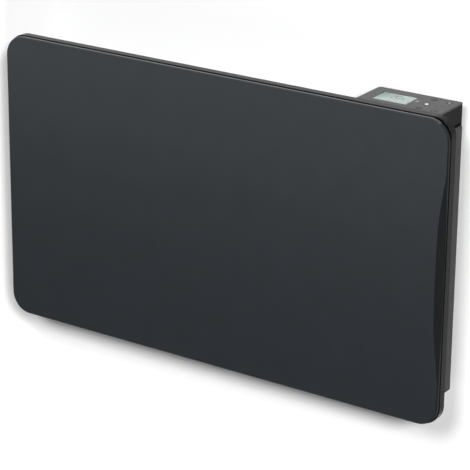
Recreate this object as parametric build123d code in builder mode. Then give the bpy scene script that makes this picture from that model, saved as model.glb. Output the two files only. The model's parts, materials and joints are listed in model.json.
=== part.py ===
from build123d import *
import os
from math import atan2, cos, radians, sin, sqrt, tan

# Wall-hung electric storage radiator, in millimetres.
# X runs along the wall, to the right of someone who faces the radiator. Y points into the wall.
# Z is up. The origin is on the wall, in the middle of the four bracket holes, so every depth
# below is a distance from the wall towards the room.

# Front panel
panel_width = 778.0
panel_height = 455.7
panel_corner = 32.0
panel_thickness = 5.0
panel_edge = 2.0
panel_skin = 2.5
panel_rim = 16.0
bevel_inset = 12.2
bevel_length = 390.0
bevel_drop = 3.0
bevel_lead = 0.8
bevel_land = 1.0
bevel_knee_share = 0.5
bevel_knee_inset_share = 0.76

# Front shell, a pressed tray behind the panel
shadow_gap = 3.0
shell_depth = 13.5
shell_side_inset = 0.4
shell_rise = 0.8
shell_corner = 28.0
shell_sheet = 1.2
shell_edge = 1.2
chassis_sheet = 1.5
chassis_clearance = 0.4

# Rear casing
wall_gap = 22.0
case_depth = 64.5
case_side_inset = 26.1
case_top_drop = 30.5
case_bottom_rise = 22.7
case_corner = 3.0
case_edge = 1.6
case_sheet = 1.0
case_lip = 12.0

# Control box
box_width = 134.8
box_side_inset = 0.6
box_groove = 4.9
box_rise = 1.7
box_seam = 0.2
box_wall = 2.2
box_left_corner = 6.0
box_right_corner = 3.0
neck_inset = 0.8
box_screw_shares = (0.38, 0.31)
post_lens_share = 0.33
post_gap = 0.6
fascia_thickness = 2.4
fascia_edge = 0.6
clip_width = 8.0
clip_wall = 1.2
clip_length = 6.0
clip_catch = 0.7
clip_catch_height = 1.2
clip_shares = (-0.42, 0.1)
fit_gap = 0.2
wire_hole_width = 36.0
wire_hole_depth = 16.0

# Display and keys, placed on the tilted fascia
lens_height = 35.0
lens_left = 18.8
lens_flange = 2.0
lens_flange_depth = 1.0
controls_forward = 3.3
module_depth = 5.0
module_border = 1.5
key_radius = 4.5
key_gap = 0.3
key_ear = 1.0
key_column_inset = 14.2
key_column_pitch = 24.0
key_row_pitch = 21.7
light_column_pitch = 17.4
key_travel = 0.7
light_width = 4.0
light_length = 9.0
light_offset = 5.4
light_back = 4.0
board_thickness = 1.6
board_gap = 1.8
tact_side = 6.0
tact_height = 3.5
tact_button = 0.9
tact_button_radius = 2.0

# Storage core
bay_width = 134.0
rear_duct = 8.0
shield_sheet = 0.8
insulation_thickness = 9.2
tray_sheet = 1.2
plate_thickness = 1.5
front_duct = 10.0
core_margin = 62.0
core_side_play = 0.5
core_bay_gap = 9.0
brick_columns = 4
brick_rows = 2
brick_joint = 1.0
tube_radius = 4.0
tube_groove_gap = 0.3
run_half = 35.0
bend_clearance = 8.0
bend_start = 2.0
cold_end = 14.0
pin_radius = 1.5
pin_length = 12.0
tray_border = 30.0
bolt_line = 20.0
bolt_arm_gap = 36.0
clamp_leg = 14.0
strap_width = 20.0
strap_return = 16.0
bush_flange = 1.5
bush_body = 6.0
bush_rim = 8.0
foot_width = 12.0
foot_hole_share = 0.6
clamp_rivet_shares = (-0.4, -0.15, 0.15, 0.4)
divider_rivet_shares = (-0.4, 0, 0.4)
vent_columns = 24
vent_rows = 4
vent_width = 12.0
vent_row_gap = 18.0

# Fixings
m3_radius = 1.5
m4_radius = 2.0
m5_radius = 2.5
thread_gap = 0.1
hole_gap = 0.2
head_ratio = 1.9
head_height = 2.4
fixing_bite = 3.5
bolt_head = 3.2
weld_nut = 4.0
rivet_head = 1.2
boss_radius = 8.0
spacer_radius = 7.0
pillar_radius = 5.0
standoff_shoulder = 7.0
standoff_neck = 4.0
fixing_side_inset = 89.0
fixing_end_inset = 58.5
pillar_inset = 14.0
side_screw_shares = (-0.25, 0.25)
end_screw_shares = (-0.75, -0.25, 0.25, 0.75)

# Air slots in the top and bottom of the casing
slot_width = 3.4
slot_length = 38.0
slot_pitch = 9.0
slot_margin = 30.0

# Wall bracket
arm_inset = 162.9
arm_width = 34.0
arm_shortfall = 72.5
arm_sheet = 2.0
arm_reach_gap = 0.3
hole_inset = 40.0
wall_hole_radius = 3.5
hook_thickness = 3.0
hook_height = 8.0
hook_tip = 10.0
hook_tip_width = 3.0
hook_rise = 15.0
hook_pass = 1.5
hook_side_gap = 0.5
seat_gap = 0.3
latch_radius = 3.0
latch_bore_gap = 0.05
latch_axis_depth = 12.0
latch_head_radius = 6.0
latch_head_height = 3.7
latch_driver_slot = 1.4
latch_tab_drop = 13.0
claw_inner = 11.7
claw_outer = 14.5
claw_height = 3.0
claw_arm = 6.0
claw_arm_angle = 24.0
claw_tip_angle = -15.0
claw_heel_angle = 41.0
bar_height = 24.0
bar_sheet = 2.0
bar_inset = 75.0

# Mains switch on the left side of the control box
switch_length = 21.0
switch_height = 15.0
switch_bezel = 1.5
switch_step = 1.0
switch_body_depth = 15.5
rocker_half = 8.0
rocker_play = 0.9
rocker_half_height = 4.9
rocker_side_gap = 0.4
rocker_pin = 1.0
rocker_pin_gap = 0.05
rocker_pin_length = 0.8
rocker_pivot_depth = 2.0
rocker_valley = 2.6
rocker_root = 2.0
rocker_base = 4.5
rocker_base_half = 3.0
rocker_swing = 20.0

# Wiring bay
pcb_width = 110.0
pcb_height = 150.0
pcb_standoff = 17.0
pcb_shift = 3.0
pcb_drop_share = 0.25
pcb_post_radius = 4.0
pcb_post_inset = 6.0
relay_size = (29.0, 13.0, 15.7)
supply_size = (35.0, 30.0, 22.0)
supply_corner = 2.4
terminal_size = (50.0, 16.0, 18.0)
sink_size = (24.0, 40.0, 26.0)
sink_fin = 1.6
sink_fins = 5
sink_base = 4.0
part_margin = 6.0
gland_thread = 8.0
gland_hex = 11.0
gland_hex_height = 6.0
gland_dome = 8.6
gland_dome_height = 11.0
gland_edge = 2.15
gland_bore = 4.0
gland_nut_height = 5.0
gland_inset = 60.0
sensor_radius = 2.5
sensor_length = 26.0
sensor_reach = 8.0
sensor_edge = 1.25
grommet_radius = 5.0
grommet_flange = 1.2
sensor_inset = 20.0
cutout_radius = 8.0
cutout_depth = 8.0
cutout_neck = 5.0
probe_radius = 2.4
probe_reach = 40.0
probe_boot = 4.0
probe_boot_length = 11.0
bore_gap = 0.3
blade_width = 6.3
blade_thickness = 0.8
blade_length = 8.0
terminal_ways = 5
terminal_hole = 2.2

# Heating film behind the front panel
film_margin = 2.0
film_thickness = 0.8

# How far every cut runs past the face it opens
overrun = 1.0

# Depths from the wall, outwards
case_back = wall_gap
case_front = case_back + case_depth
shell_front = case_front + shell_depth
panel_back = shell_front + shadow_gap
panel_front = panel_back + panel_thickness
inner_back = case_back + case_sheet
shield_back = inner_back + rear_duct
shield_front = shield_back + shield_sheet
tray_back = shield_front + insulation_thickness
tray_front = tray_back + tray_sheet
core_front = case_front - front_duct - plate_thickness
brick_thickness = (core_front - tray_front) / 2
core_middle = tray_front + brick_thickness
plate_front = core_front + plate_thickness

# Edges seen from the room
panel_top = panel_height / 2
panel_right = panel_width / 2
shell_width = panel_width - 2 * shell_side_inset
shell_height = panel_height + 2 * shell_rise
shell_top = shell_height / 2
case_right = panel_right - case_side_inset
case_width = 2 * case_right
case_top = panel_top - case_top_drop
case_bottom = case_bottom_rise - panel_top
case_height = case_top - case_bottom
case_middle = (case_top + case_bottom) / 2
arm_spacing = case_width - 2 * arm_inset
arm_height = case_height - arm_shortfall
hole_spacing = arm_height - 2 * hole_inset
bar_spacing = arm_height - 2 * bar_inset
divider = case_right - bay_width
core_right = divider - core_bay_gap
core_left = (case_sheet + bend_clearance + run_half + tube_radius + bend_start + tray_sheet
             + core_side_play - case_right)
core_width = core_right - core_left
core_centre = (core_right + core_left) / 2
core_bottom = case_bottom + core_margin
core_top = case_top - core_margin
core_height = core_top - core_bottom
core_level = (core_top + core_bottom) / 2
brick_width = (core_width - (brick_columns - 1) * brick_joint) / brick_columns
brick_height = (core_height - (brick_rows - 1) * brick_joint) / brick_rows
row_pitch = brick_height + brick_joint
row_levels = {"lower": core_level - row_pitch / 2, "upper": core_level + row_pitch / 2}
run_levels = [level + side * run_half for level in row_levels.values() for side in (-1, 1)]

# Control box, with a fascia that rises a little towards the wall
box_right = case_right - box_side_inset
box_left = box_right - box_width
box_middle = box_right - box_width / 2
box_bottom = case_top + box_groove
box_front = case_front - box_seam
box_depth = box_front - case_back
box_centre_depth = (box_front + case_back) / 2
box_tilt = atan2(box_rise, box_depth)
fascia_plane = Plane(
    origin=(box_middle, -box_centre_depth, shell_top + box_rise / 2),
    x_dir=(1, 0, 0),
    z_dir=(0, -sin(box_tilt), cos(box_tilt)),
)
fascia_depth = box_depth / cos(box_tilt)
control_y = -controls_forward
key_column = box_width / 2 - key_column_inset
light_x = key_column - key_column_pitch - light_column_pitch
lens_width = light_x - light_offset - lens_left + box_width / 2
lens_x = light_x - light_offset - lens_width / 2
key_places = {
    "key_mode": (key_column, control_y + key_row_pitch),
    "key_power": (key_column, control_y - key_row_pitch),
    "key_up": (key_column - key_column_pitch, control_y + key_row_pitch),
    "key_select": (key_column - key_column_pitch, control_y),
    "key_down": (key_column - key_column_pitch, control_y - key_row_pitch),
}
light_y = control_y + light_back
flange_level = fascia_thickness + lens_flange_depth
board_level = flange_level + module_depth + key_gap
key_height = board_level - tact_height - key_travel - key_gap


def from_wall(depth):
    """A plane parallel to the wall: its x is X, its y is Z, and it faces the room."""
    return Plane.XZ.offset(depth)


def below_fascia(depth):
    """A plane parallel to the control box's fascia, this far under it."""
    return fascia_plane.offset(-depth)


def finish(piece, name):
    """Label a finished piece and write its STEP file."""
    piece.part.label = name
    export_step(piece.part, f"parts/{name}.step")


os.makedirs("parts", exist_ok=True)

# Front panel: a flat plate with a pocket behind it and a curved bevel down its right edge
panel_fixings = [(x, z) for x in (fixing_side_inset - panel_right, 0, panel_right - fixing_side_inset)
                 for z in (fixing_end_inset - panel_top, panel_top - fixing_end_inset)]
pocket_width = panel_width - 2 * panel_rim
pocket_height = panel_height - 2 * panel_rim
pocket_depth = panel_thickness - panel_skin
bevel_run = panel_thickness - bevel_land
with BuildPart() as front_panel:
    with BuildSketch(from_wall(panel_back)):
        RectangleRounded(panel_width, panel_height, panel_corner)
    extrude(amount=panel_thickness)
    fillet(front_panel.faces().sort_by(Axis.Y)[0].edges(), panel_edge)
    with BuildSketch(from_wall(panel_front)):
        with BuildLine():
            knee = bevel_length / 2 * bevel_knee_share
            knee_x = panel_right - bevel_inset * bevel_knee_inset_share
            Spline(
                (panel_right + bevel_lead, bevel_length / 2 - bevel_drop),
                (knee_x, knee - bevel_drop),
                (panel_right - bevel_inset, -bevel_drop),
                (knee_x, -knee - bevel_drop),
                (panel_right + bevel_lead, -bevel_length / 2 - bevel_drop),
                tangents=((0, -1), (0, -1)),
            )
            Polyline(
                (panel_right + bevel_lead, -bevel_length / 2 - bevel_drop),
                (panel_right + overrun, -bevel_length / 2 - bevel_drop),
                (panel_right + overrun, bevel_length / 2 - bevel_drop),
                (panel_right + bevel_lead, bevel_length / 2 - bevel_drop),
            )
        make_face()
    slant = Vector(bevel_inset, bevel_run, 0)
    extrude(amount=slant.length + overrun, dir=slant.normalized(), mode=Mode.SUBTRACT)
    with BuildSketch(from_wall(panel_back)):
        RectangleRounded(pocket_width, pocket_height, panel_corner - panel_rim)
        with Locations(*panel_fixings):
            Circle(boss_radius, mode=Mode.SUBTRACT)
    extrude(amount=pocket_depth, mode=Mode.SUBTRACT)
    with BuildSketch(from_wall(panel_back)):
        with Locations(*panel_fixings):
            Circle(m4_radius + thread_gap)
    extrude(amount=fixing_bite, mode=Mode.SUBTRACT)
finish(front_panel, "front_panel")

# Heating film and felt in the panel's pocket, both cut out round the panel's bosses
film_back = panel_back + pocket_depth - film_thickness
for name, start, thickness in (
    ("heating_film", film_back, film_thickness),
    ("film_felt", panel_back, pocket_depth - film_thickness),
):
    with BuildPart() as layer:
        with BuildSketch(from_wall(start)):
            RectangleRounded(
                pocket_width - 2 * film_margin,
                pocket_height - 2 * film_margin,
                panel_corner - panel_rim - film_margin,
            )
            with Locations(*panel_fixings):
                Circle(boss_radius + film_margin, mode=Mode.SUBTRACT)
        extrude(amount=thickness)
    finish(layer, name)

# Spacers that hold the panel off the shell
with BuildPart() as panel_spacers:
    with BuildSketch(from_wall(shell_front)):
        with Locations(*panel_fixings):
            Circle(spacer_radius)
            Circle(m4_radius + hole_gap, mode=Mode.SUBTRACT)
    extrude(amount=shadow_gap)
finish(panel_spacers, "panel_spacers")

# Screws from inside the shell into the panel
shell_inner_front = shell_front - shell_sheet
with BuildPart() as panel_screws:
    with BuildSketch(from_wall(shell_inner_front - head_height)):
        with Locations(*panel_fixings):
            Circle(m4_radius * head_ratio)
    extrude(amount=head_height)
    with BuildSketch(from_wall(shell_inner_front)):
        with Locations(*panel_fixings):
            Circle(m4_radius)
    extrude(amount=shell_sheet + shadow_gap + fixing_bite - thread_gap)
finish(panel_screws, "panel_screws")

# Front shell: a pressed steel tray, open to the wall
with BuildPart() as front_shell:
    with BuildSketch(from_wall(case_front)):
        RectangleRounded(shell_width, shell_height, shell_corner)
    extrude(amount=shell_depth)
    fillet(front_shell.faces().sort_by(Axis.Y)[0].edges(), shell_edge)
    with BuildSketch(from_wall(case_front)):
        RectangleRounded(
            shell_width - 2 * shell_sheet,
            shell_height - 2 * shell_sheet,
            shell_corner - shell_sheet,
        )
    extrude(amount=shell_depth - shell_sheet, mode=Mode.SUBTRACT)
    with BuildSketch(from_wall(shell_inner_front - overrun)):
        with Locations(*panel_fixings):
            Circle(m4_radius + hole_gap)
    extrude(amount=shell_sheet + 2 * overrun, mode=Mode.SUBTRACT)
finish(front_shell, "front_shell")

# Pillars welded inside the shell, which the chassis plate is screwed to
pillar_side = shell_width / 2 - pillar_inset
pillar_end = shell_top - pillar_inset
pillar_places = [(side * pillar_side, level) for side in (-1, 1)
                 for level in (-pillar_end / 2, 0, pillar_end / 2)]
pillar_places += [(x, end * pillar_end) for end in (-1, 1) for x in (-pillar_side / 2, 0)]
with BuildPart() as shell_pillars:
    with BuildSketch(from_wall(case_front + chassis_sheet)):
        with Locations(*pillar_places):
            Circle(pillar_radius)
            Circle(m4_radius + thread_gap, mode=Mode.SUBTRACT)
    extrude(amount=shell_depth - shell_sheet - chassis_sheet)
finish(shell_pillars, "shell_pillars")

# Screws through the casing's lip, and the holes that both plates share
lip_side = case_right - case_lip / 2
lip_top = case_top - case_lip / 2
lip_bottom = case_bottom + case_lip / 2
case_screw_places = [(side * lip_side, case_middle + share * case_height)
                     for side in (-1, 1) for share in side_screw_shares]
case_screw_places += [(share * case_right, level) for level in (lip_bottom, lip_top)
                      for share in end_screw_shares]

# Chassis plate: closes the shell and carries the casing
vent_height = (core_height - (vent_rows - 1) * vent_row_gap) / vent_rows
with BuildPart() as chassis_plate:
    with BuildSketch(from_wall(case_front)):
        RectangleRounded(
            shell_width - 2 * (shell_sheet + chassis_clearance),
            shell_height - 2 * (shell_sheet + chassis_clearance),
            shell_corner - shell_sheet - chassis_clearance,
        )
        with Locations(*pillar_places, *case_screw_places):
            Circle(m4_radius + hole_gap, mode=Mode.SUBTRACT)
        with Locations((core_centre, core_level)):
            with GridLocations(core_width / vent_columns, vent_height + vent_row_gap,
                               vent_columns, vent_rows):
                SlotOverall(vent_height, vent_width, rotation=90, mode=Mode.SUBTRACT)
    extrude(amount=chassis_sheet)
finish(chassis_plate, "chassis_plate")

# Screws of the chassis plate: short ones into the pillars, and into the casing's lip
with BuildPart() as chassis_screws:
    with BuildSketch(from_wall(case_front - head_height)):
        with Locations(*pillar_places):
            Circle(m4_radius * head_ratio)
    extrude(amount=head_height)
    with BuildSketch(from_wall(case_front)):
        with Locations(*pillar_places):
            Circle(m4_radius)
    extrude(amount=chassis_sheet + fixing_bite)
    with BuildSketch(from_wall(case_front + chassis_sheet)):
        with Locations(*case_screw_places):
            Circle(m4_radius * head_ratio)
    extrude(amount=head_height)
    with BuildSketch(from_wall(case_front - fixing_bite)):
        with Locations(*case_screw_places):
            Circle(m4_radius)
    extrude(amount=chassis_sheet + fixing_bite)
finish(chassis_screws, "chassis_screws")

# Where the core's bolts, the bracket's hooks and its latches pass the casing's back
bolt_xs = (-arm_spacing / 2 - bolt_arm_gap, -bolt_arm_gap, arm_spacing / 2 - bolt_arm_gap)
bolt_places = [(x, z) for x in bolt_xs for z in (core_bottom - bolt_line, core_top + bolt_line)]
arm_xs = {"left": -arm_spacing / 2, "right": arm_spacing / 2}
arm_top = arm_height / 2
hook_bottom = hook_rise - arm_top
hook_seat = hook_bottom + hook_height
hook_slot_bottom = hook_bottom - hook_tip - hook_pass
hook_slot_top = hook_seat + seat_gap
latch_tab_top = arm_top - latch_tab_drop
latch_tab_bottom = latch_tab_top - arm_sheet
claw_top = latch_tab_bottom - seat_gap
claw_bottom = claw_top - claw_height
claw_reach = case_back - latch_axis_depth
claw_lean = radians(claw_arm_angle)
claw_slot_left = claw_reach * tan(claw_lean) - claw_arm / cos(claw_lean) / 2
claw_slot_right = sqrt(claw_outer ** 2 - claw_reach ** 2)
gland_x = case_right - gland_inset
sensor_x = case_right - sensor_inset
mid_case_depth = (case_back + case_front) / 2
slot_span = core_right - slot_margin + case_right
slot_centre = (core_right + slot_margin - case_right) / 2
slot_count = int(slot_span / slot_pitch)
box_screw_places = [(x * box_screw_shares[0] * box_width, y * box_screw_shares[1] * box_depth)
                    for x in (-1, 1) for y in (-1, 1)]

# Rear casing: a folded steel tray with air slots above and below
with BuildPart() as rear_casing:
    with BuildSketch(from_wall(case_back)):
        with Locations((0, case_middle)):
            RectangleRounded(case_width, case_height, case_corner)
    extrude(amount=case_depth)
    fillet(rear_casing.faces().sort_by(Axis.Y)[-1].edges(), case_edge)
    with BuildSketch(from_wall(inner_back)):
        with Locations((0, case_middle)):
            RectangleRounded(
                case_width - 2 * case_sheet,
                case_height - 2 * case_sheet,
                case_corner - case_sheet,
            )
    extrude(amount=case_depth - 2 * case_sheet, mode=Mode.SUBTRACT)
    with BuildSketch(from_wall(case_front - case_sheet)):
        with Locations((0, case_middle)):
            Rectangle(case_width - 2 * case_lip, case_height - 2 * case_lip)
        with Locations(*case_screw_places):
            Circle(m4_radius + thread_gap)
    extrude(amount=case_sheet + overrun, mode=Mode.SUBTRACT)
    with BuildSketch(Plane.XY.offset(case_bottom - overrun)):
        with Locations((slot_centre, -mid_case_depth)):
            with GridLocations(slot_pitch, 0, slot_count, 1):
                SlotOverall(slot_length, slot_width, rotation=90)
    extrude(amount=case_height + 2 * overrun, mode=Mode.SUBTRACT)
    with BuildSketch(Plane.XY.offset(case_bottom - overrun)):
        with Locations((gland_x, -mid_case_depth)):
            Circle(gland_thread + hole_gap)
        with Locations((sensor_x, -mid_case_depth)):
            Circle(grommet_radius - grommet_flange)
    extrude(amount=case_sheet + 2 * overrun, mode=Mode.SUBTRACT)
    with BuildSketch(Plane.XY.offset(case_top + overrun)):
        with Locations((box_middle, -box_centre_depth)):
            Rectangle(wire_hole_width, wire_hole_depth)
            with Locations(*box_screw_places):
                Circle(m4_radius + hole_gap)
    extrude(amount=-case_sheet - 2 * overrun, mode=Mode.SUBTRACT)
    with BuildSketch(from_wall(case_back - overrun)):
        with Locations(*bolt_places):
            Circle(m5_radius + hole_gap)
        for x in arm_xs.values():
            with Locations((x, (hook_slot_bottom + hook_slot_top) / 2)):
                Rectangle(hook_thickness + 2 * hook_side_gap, hook_slot_top - hook_slot_bottom)
            with Locations((x + (claw_slot_left + claw_slot_right) / 2, (claw_top + claw_bottom) / 2)):
                Rectangle(
                    claw_slot_right - claw_slot_left + 2 * hook_side_gap,
                    claw_height + 2 * hook_side_gap,
                )
    extrude(amount=case_sheet + 2 * overrun, mode=Mode.SUBTRACT)
finish(rear_casing, "rear_casing")

# Heat shield and rear insulation, held by the core's standoffs
tray_left = core_left - core_side_play - tray_sheet
tray_right = core_right + core_side_play + tray_sheet
tray_width = tray_right - tray_left
tray_centre = (tray_right + tray_left) / 2
tray_height = core_height + 2 * tray_border
for name, start, thickness in (
    ("heat_shield", shield_back, shield_sheet),
    ("rear_insulation", shield_front, insulation_thickness),
):
    with BuildPart() as sheet:
        with BuildSketch(from_wall(start)):
            with Locations((tray_centre, core_level)):
                Rectangle(tray_width, tray_height)
            with Locations(*bolt_places):
                Circle(standoff_neck + bore_gap, mode=Mode.SUBTRACT)
        extrude(amount=thickness)
    finish(sheet, name)

with BuildPart() as core_standoffs:
    with BuildSketch(from_wall(inner_back)):
        with Locations(*bolt_places):
            Circle(standoff_shoulder)
    extrude(amount=rear_duct)
    with BuildSketch(from_wall(shield_back)):
        with Locations(*bolt_places):
            Circle(standoff_neck)
    extrude(amount=shield_sheet + insulation_thickness)
    with BuildSketch(from_wall(inner_back)):
        with Locations(*bolt_places):
            Circle(m5_radius + thread_gap)
    extrude(amount=tray_back - inner_back, mode=Mode.SUBTRACT)
finish(core_standoffs, "core_standoffs")

with BuildPart() as core_bolts:
    with BuildSketch(from_wall(case_back - bolt_head)):
        with Locations(*bolt_places):
            RegularPolygon(m5_radius * head_ratio, 6)
    extrude(amount=bolt_head)
    with BuildSketch(from_wall(case_back)):
        with Locations(*bolt_places):
            Circle(m5_radius)
    extrude(amount=tray_front + weld_nut - case_back)
finish(core_bolts, "core_bolts")

# Core tray: a steel cradle with weld nuts, a shelf, and side lips notched round the elements
probe_level = row_levels["upper"]
probe_depth = tray_front + brick_thickness / 2
lip_depth = core_front - tray_front - brick_joint
with BuildPart() as core_tray:
    with BuildSketch(from_wall(tray_back)):
        with Locations((tray_centre, core_level)):
            Rectangle(tray_width, tray_height)
        with Locations(*bolt_places):
            Circle(m5_radius + thread_gap, mode=Mode.SUBTRACT)
    extrude(amount=tray_sheet)
    with BuildSketch(from_wall(tray_front)):
        with Locations(*bolt_places):
            RegularPolygon(m5_radius * head_ratio, 6)
            Circle(m5_radius + thread_gap, mode=Mode.SUBTRACT)
    extrude(amount=weld_nut)
    with BuildSketch(from_wall(tray_front)):
        with Locations((tray_centre, core_bottom - tray_sheet / 2)):
            Rectangle(tray_width, tray_sheet)
        for side_x in (tray_left + tray_sheet / 2, tray_right - tray_sheet / 2):
            with Locations((side_x, core_level)):
                Rectangle(tray_sheet, core_height)
    extrude(amount=lip_depth)
    with BuildSketch(Plane.YZ.offset(tray_left - overrun)):
        for level in run_levels:
            with Locations((-core_middle, level)):
                Circle(tube_radius + bore_gap)
            with Locations((-(core_middle + core_front) / 2, level)):
                Rectangle(core_front - core_middle, 2 * (tube_radius + bore_gap))
    extrude(amount=tray_width + 2 * overrun, mode=Mode.SUBTRACT)
    with BuildSketch(Plane.YZ.offset(core_right)):
        with Locations((-probe_depth, probe_level)):
            Circle(probe_radius + bore_gap)
    extrude(amount=core_side_play + tray_sheet + overrun, mode=Mode.SUBTRACT)
finish(core_tray, "core_tray")

# Storage bricks in two layers, with half-round grooves for the elements between them
for name, start in (("rear_bricks", tray_front), ("front_bricks", core_middle)):
    with BuildPart() as bricks:
        with BuildSketch(from_wall(start)):
            with Locations((core_centre, core_level)):
                with GridLocations(brick_width + brick_joint, row_pitch, brick_columns, brick_rows):
                    Rectangle(brick_width, brick_height)
        extrude(amount=brick_thickness)
        with BuildSketch(Plane.YZ.offset(core_left - overrun)):
            for level in run_levels:
                with Locations((-core_middle, level)):
                    Circle(tube_radius + tube_groove_gap)
        extrude(amount=core_width + 2 * overrun, mode=Mode.SUBTRACT)
        with BuildSketch(Plane.YZ.offset(core_right)):
            with Locations((-probe_depth, probe_level)):
                Circle(probe_radius + bore_gap)
        extrude(amount=-probe_reach - bore_gap, mode=Mode.SUBTRACT)
    finish(bricks, name)

# Sheathed heating elements: one hairpin for each row of bricks
bend_x = core_left - core_side_play - tray_sheet - bend_start
element_end = divider + cold_end
for row, level in row_levels.items():
    with BuildPart() as element:
        with BuildLine(from_wall(core_middle)):
            Line((element_end, level + run_half), (bend_x, level + run_half))
            ThreePointArc(
                (bend_x, level + run_half), (bend_x - run_half, level), (bend_x, level - run_half)
            )
            Line((bend_x, level - run_half), (element_end, level - run_half))
        with BuildSketch(Plane((element_end, -core_middle, level + run_half), z_dir=(-1, 0, 0))):
            Circle(tube_radius)
        sweep()
        with BuildSketch(Plane.YZ.offset(element_end)):
            with Locations(*[(-core_middle, level + side * run_half) for side in (-1, 1)]):
                Circle(pin_radius)
        extrude(amount=pin_length)
    finish(element, f"{row}_element")

# Radiant plate in front of the bricks
with BuildPart() as radiant_plate:
    with BuildSketch(from_wall(core_front)):
        with Locations((core_centre, core_level)):
            Rectangle(core_width, core_height)
    extrude(amount=plate_thickness)
finish(radiant_plate, "radiant_plate")

# Top clamp over the bricks, riveted to the tray
clamp_places = [(core_centre + share * core_width, core_top + tray_sheet + clamp_leg / 2)
                for share in clamp_rivet_shares]
with BuildPart() as top_clamp:
    with BuildSketch(Plane.YZ.offset(core_left)):
        with BuildLine():
            Polyline(
                (-tray_front, core_top),
                (-core_front, core_top),
                (-core_front, core_top + tray_sheet),
                (-tray_front - tray_sheet, core_top + tray_sheet),
                (-tray_front - tray_sheet, core_top + clamp_leg),
                (-tray_front, core_top + clamp_leg),
                close=True,
            )
        make_face()
    extrude(amount=core_width)
    with BuildSketch(from_wall(tray_front - overrun)):
        with Locations(*clamp_places):
            Circle(m4_radius + hole_gap)
    extrude(amount=tray_sheet + 2 * overrun, mode=Mode.SUBTRACT)
finish(top_clamp, "top_clamp")

# Straps over the brick joints, hooked round the shelf and the clamp
strap_xs = [core_centre + column * (brick_width + brick_joint) for column in (-1, 0, 1)]
strap_bottom = core_bottom - tray_sheet - plate_thickness
strap_top = core_top + tray_sheet + plate_thickness
with BuildPart() as core_straps:
    for x in strap_xs:
        with BuildSketch(Plane.YZ.offset(x - strap_width / 2)):
            with BuildLine():
                Polyline(
                    (-plate_front + strap_return, strap_bottom),
                    (-plate_front - plate_thickness, strap_bottom),
                    (-plate_front - plate_thickness, strap_top),
                    (-plate_front + strap_return, strap_top),
                    (-plate_front + strap_return, strap_top - plate_thickness),
                    (-plate_front, strap_top - plate_thickness),
                    (-plate_front, strap_bottom + plate_thickness),
                    (-plate_front + strap_return, strap_bottom + plate_thickness),
                    close=True,
                )
            make_face()
        extrude(amount=strap_width)
finish(core_straps, "core_straps")

# Bay divider between the hot core and the wiring, with a foot on the casing's back
cutout_level = (core_top + tray_border + case_top) / 2
divider_places = [(divider + foot_width * foot_hole_share, case_middle + share * case_height)
                  for share in divider_rivet_shares]
with BuildPart() as bay_divider:
    with BuildSketch(Plane.YZ.offset(divider)):
        with Locations((-(inner_back + case_front - case_sheet - bore_gap) / 2, case_middle)):
            Rectangle(
                case_depth - 2 * case_sheet - bore_gap,
                case_height - 2 * (case_sheet + bore_gap),
            )
        with Locations(*[(-core_middle, level) for level in run_levels]):
            Circle(bush_body + hole_gap, mode=Mode.SUBTRACT)
        with Locations((-core_middle, cutout_level)):
            Circle(cutout_neck + hole_gap, mode=Mode.SUBTRACT)
        with Locations((-probe_depth, probe_level)):
            Circle(probe_radius + bore_gap, mode=Mode.SUBTRACT)
    extrude(amount=case_sheet)
    with BuildSketch(from_wall(inner_back)):
        with Locations((divider + foot_width / 2, case_middle)):
            Rectangle(foot_width, case_height - 2 * (case_corner + bore_gap))
        with Locations(*divider_places):
            Circle(m4_radius + hole_gap, mode=Mode.SUBTRACT)
    extrude(amount=case_sheet)
finish(bay_divider, "bay_divider")

# Rivets of the top clamp and of the divider's foot
with BuildPart() as core_rivets:
    for start, grip, places in (
        (tray_front, tray_sheet, clamp_places),
        (inner_back, case_sheet, divider_places),
    ):
        with BuildSketch(from_wall(start)):
            with Locations(*places):
                Circle(m4_radius)
        extrude(amount=grip)
        with BuildSketch(from_wall(start + grip)):
            with Locations(*places):
                Circle(m4_radius * head_ratio)
        extrude(amount=rivet_head)
finish(core_rivets, "core_rivets")

# Ceramic bushes round the elements' cold ends
bush_places = [(-core_middle, level) for level in run_levels]
with BuildPart() as element_bushes:
    for start, thickness, radius in (
        (divider - bush_flange, bush_flange, bush_rim),
        (divider, case_sheet, bush_body),
        (divider + case_sheet, bush_flange, bush_rim),
    ):
        with BuildSketch(Plane.YZ.offset(start)):
            with Locations(*bush_places):
                Circle(radius)
                Circle(tube_radius + thread_gap, mode=Mode.SUBTRACT)
        extrude(amount=thickness)
finish(element_bushes, "element_bushes")

# Thermal cut-out in the divider, above the core
with BuildPart() as thermal_cutout:
    for start, thickness, radius in (
        (divider - cutout_depth, cutout_depth, cutout_radius),
        (divider, case_sheet, cutout_neck),
        (divider + case_sheet, cutout_depth, cutout_radius),
    ):
        with BuildSketch(Plane.YZ.offset(start)):
            with Locations((-core_middle, cutout_level)):
                Circle(radius)
        extrude(amount=thickness)
    with BuildSketch(Plane.YZ.offset(divider + case_sheet + cutout_depth)):
        with Locations(*[(-core_middle + side * cutout_neck, cutout_level) for side in (-1, 1)]):
            Rectangle(blade_thickness, blade_width)
    extrude(amount=blade_length)
finish(thermal_cutout, "thermal_cutout")

# Temperature probe in the upper right rear brick
with BuildPart() as core_probe:
    with BuildSketch(Plane.YZ.offset(core_right - probe_reach)):
        with Locations((-probe_depth, probe_level)):
            Circle(probe_radius)
    extrude(amount=divider + case_sheet - core_right + probe_reach)
    with BuildSketch(Plane.YZ.offset(divider + case_sheet)):
        with Locations((-probe_depth, probe_level)):
            Circle(probe_boot)
    extrude(amount=probe_boot_length)
finish(core_probe, "core_probe")

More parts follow.
